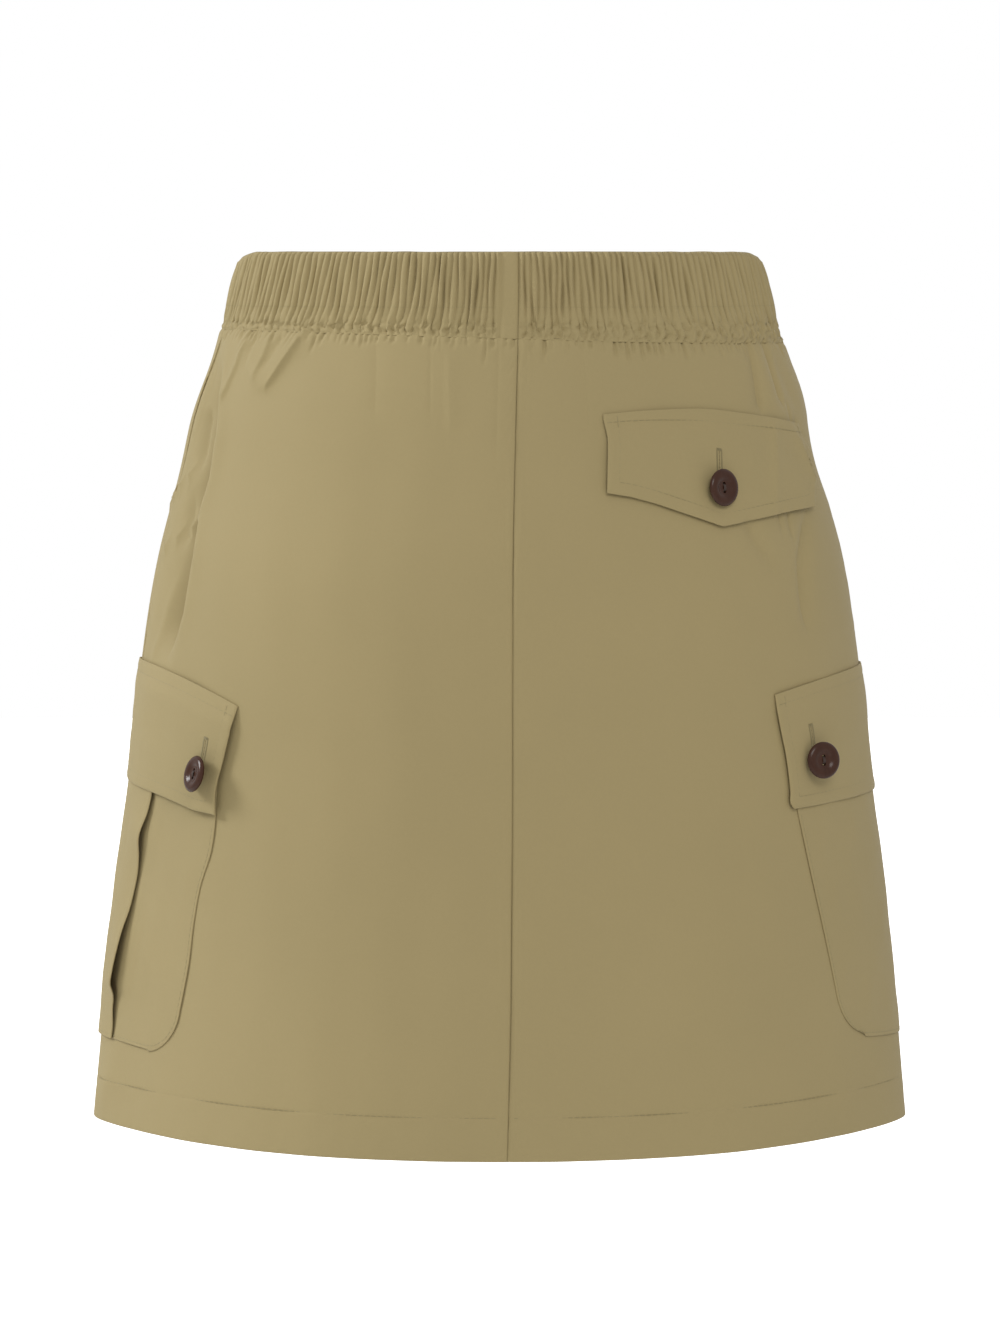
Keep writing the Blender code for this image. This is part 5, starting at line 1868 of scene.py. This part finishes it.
class AddWaistband(bpy.types.Operator):
    """Makes the gathered waistband, its casing turned over the elastic"""

    bl_idname = "skirt.waistband"
    bl_label = "Waistband"
    bl_options = {"REGISTER", "UNDO"}

    def execute(self, context):
        add_waistband()
        return {"FINISHED"}


class AddCargoPockets(bpy.types.Operator):
    """Makes the two pleated cargo pockets over the side seams"""

    bl_idname = "skirt.cargo_pockets"
    bl_label = "Cargo pockets"
    bl_options = {"REGISTER", "UNDO"}

    def execute(self, context):
        for pocket in CARGO_POCKETS:
            add_cargo_pocket(pocket)
        return {"FINISHED"}


class AddFlaps(bpy.types.Operator):
    """Makes the two cargo flaps and the pointed back flap"""

    bl_idname = "skirt.flaps"
    bl_label = "Flaps"
    bl_options = {"REGISTER", "UNDO"}

    def execute(self, context):
        for pocket in CARGO_POCKETS:
            add_cargo_flap(pocket)
        add_back_flap()
        return {"FINISHED"}


class AddButtons(bpy.types.Operator):
    """Makes the five two-hole buttons and the thread that holds them"""

    bl_idname = "skirt.buttons"
    bl_label = "Buttons"
    bl_options = {"REGISTER", "UNDO"}

    def execute(self, context):
        add_buttons()
        return {"FINISHED"}


class AddSewing(bpy.types.Operator):
    """Sews the hem, the elastic's casing, the pockets, the flaps and the buttonholes"""

    bl_idname = "skirt.sewing"
    bl_label = "Sewing"
    bl_options = {"REGISTER", "UNDO"}

    def execute(self, context):
        sew_hem()
        sew_elastic()
        for pocket in CARGO_POCKETS:
            sew_cargo_pocket(pocket)
            sew_cargo_flap(pocket)
        sew_back_flap()
        sew_buttonholes()
        return {"FINISHED"}


class AddStudio(bpy.types.Operator):
    """Makes the pale floor, the soft lights and the camera"""

    bl_idname = "skirt.studio"
    bl_label = "Studio"
    bl_options = {"REGISTER", "UNDO"}

    def execute(self, context):
        add_studio()
        return {"FINISHED"}


OPERATORS = [AddPanels, AddWaistband, AddCargoPockets, AddFlaps, AddButtons, AddSewing, AddStudio]
SETTINGS = {
    "skirt_cloth": ClothSettings,
    "skirt_sewing": SewingSettings,
    "skirt_buttons": ButtonSettings,
    "skirt_studio": StudioSettings,
}


class SkirtPanel(bpy.types.Panel):
    """Lists what builds the skirt, and the sizes and colours that can be changed"""

    bl_idname = "VIEW3D_PT_skirt"
    bl_label = "Skirt"
    bl_space_type = "VIEW_3D"
    bl_region_type = "UI"
    bl_category = "Skirt"

    def draw(self, context):
        for operator in OPERATORS:
            self.layout.operator(operator.bl_idname)
        for attribute, group in SETTINGS.items():
            box = self.layout.box()
            for name in group.__annotations__:
                box.prop(getattr(context.scene, attribute), name)


def register():
    for group in (*SETTINGS.values(), *OPERATORS, SkirtPanel):
        bpy.utils.register_class(group)
    for attribute, group in SETTINGS.items():
        setattr(bpy.types.Scene, attribute, bpy.props.PointerProperty(type=group))


def unregister():
    for attribute in SETTINGS:
        delattr(bpy.types.Scene, attribute)
    for group in reversed((*SETTINGS.values(), *OPERATORS, SkirtPanel)):
        bpy.utils.unregister_class(group)


def main():
    register()
    for operator in OPERATORS:
        group, name = operator.bl_idname.split(".")
        getattr(getattr(bpy.ops, group), name)()


if __name__ == "__main__":
    main()
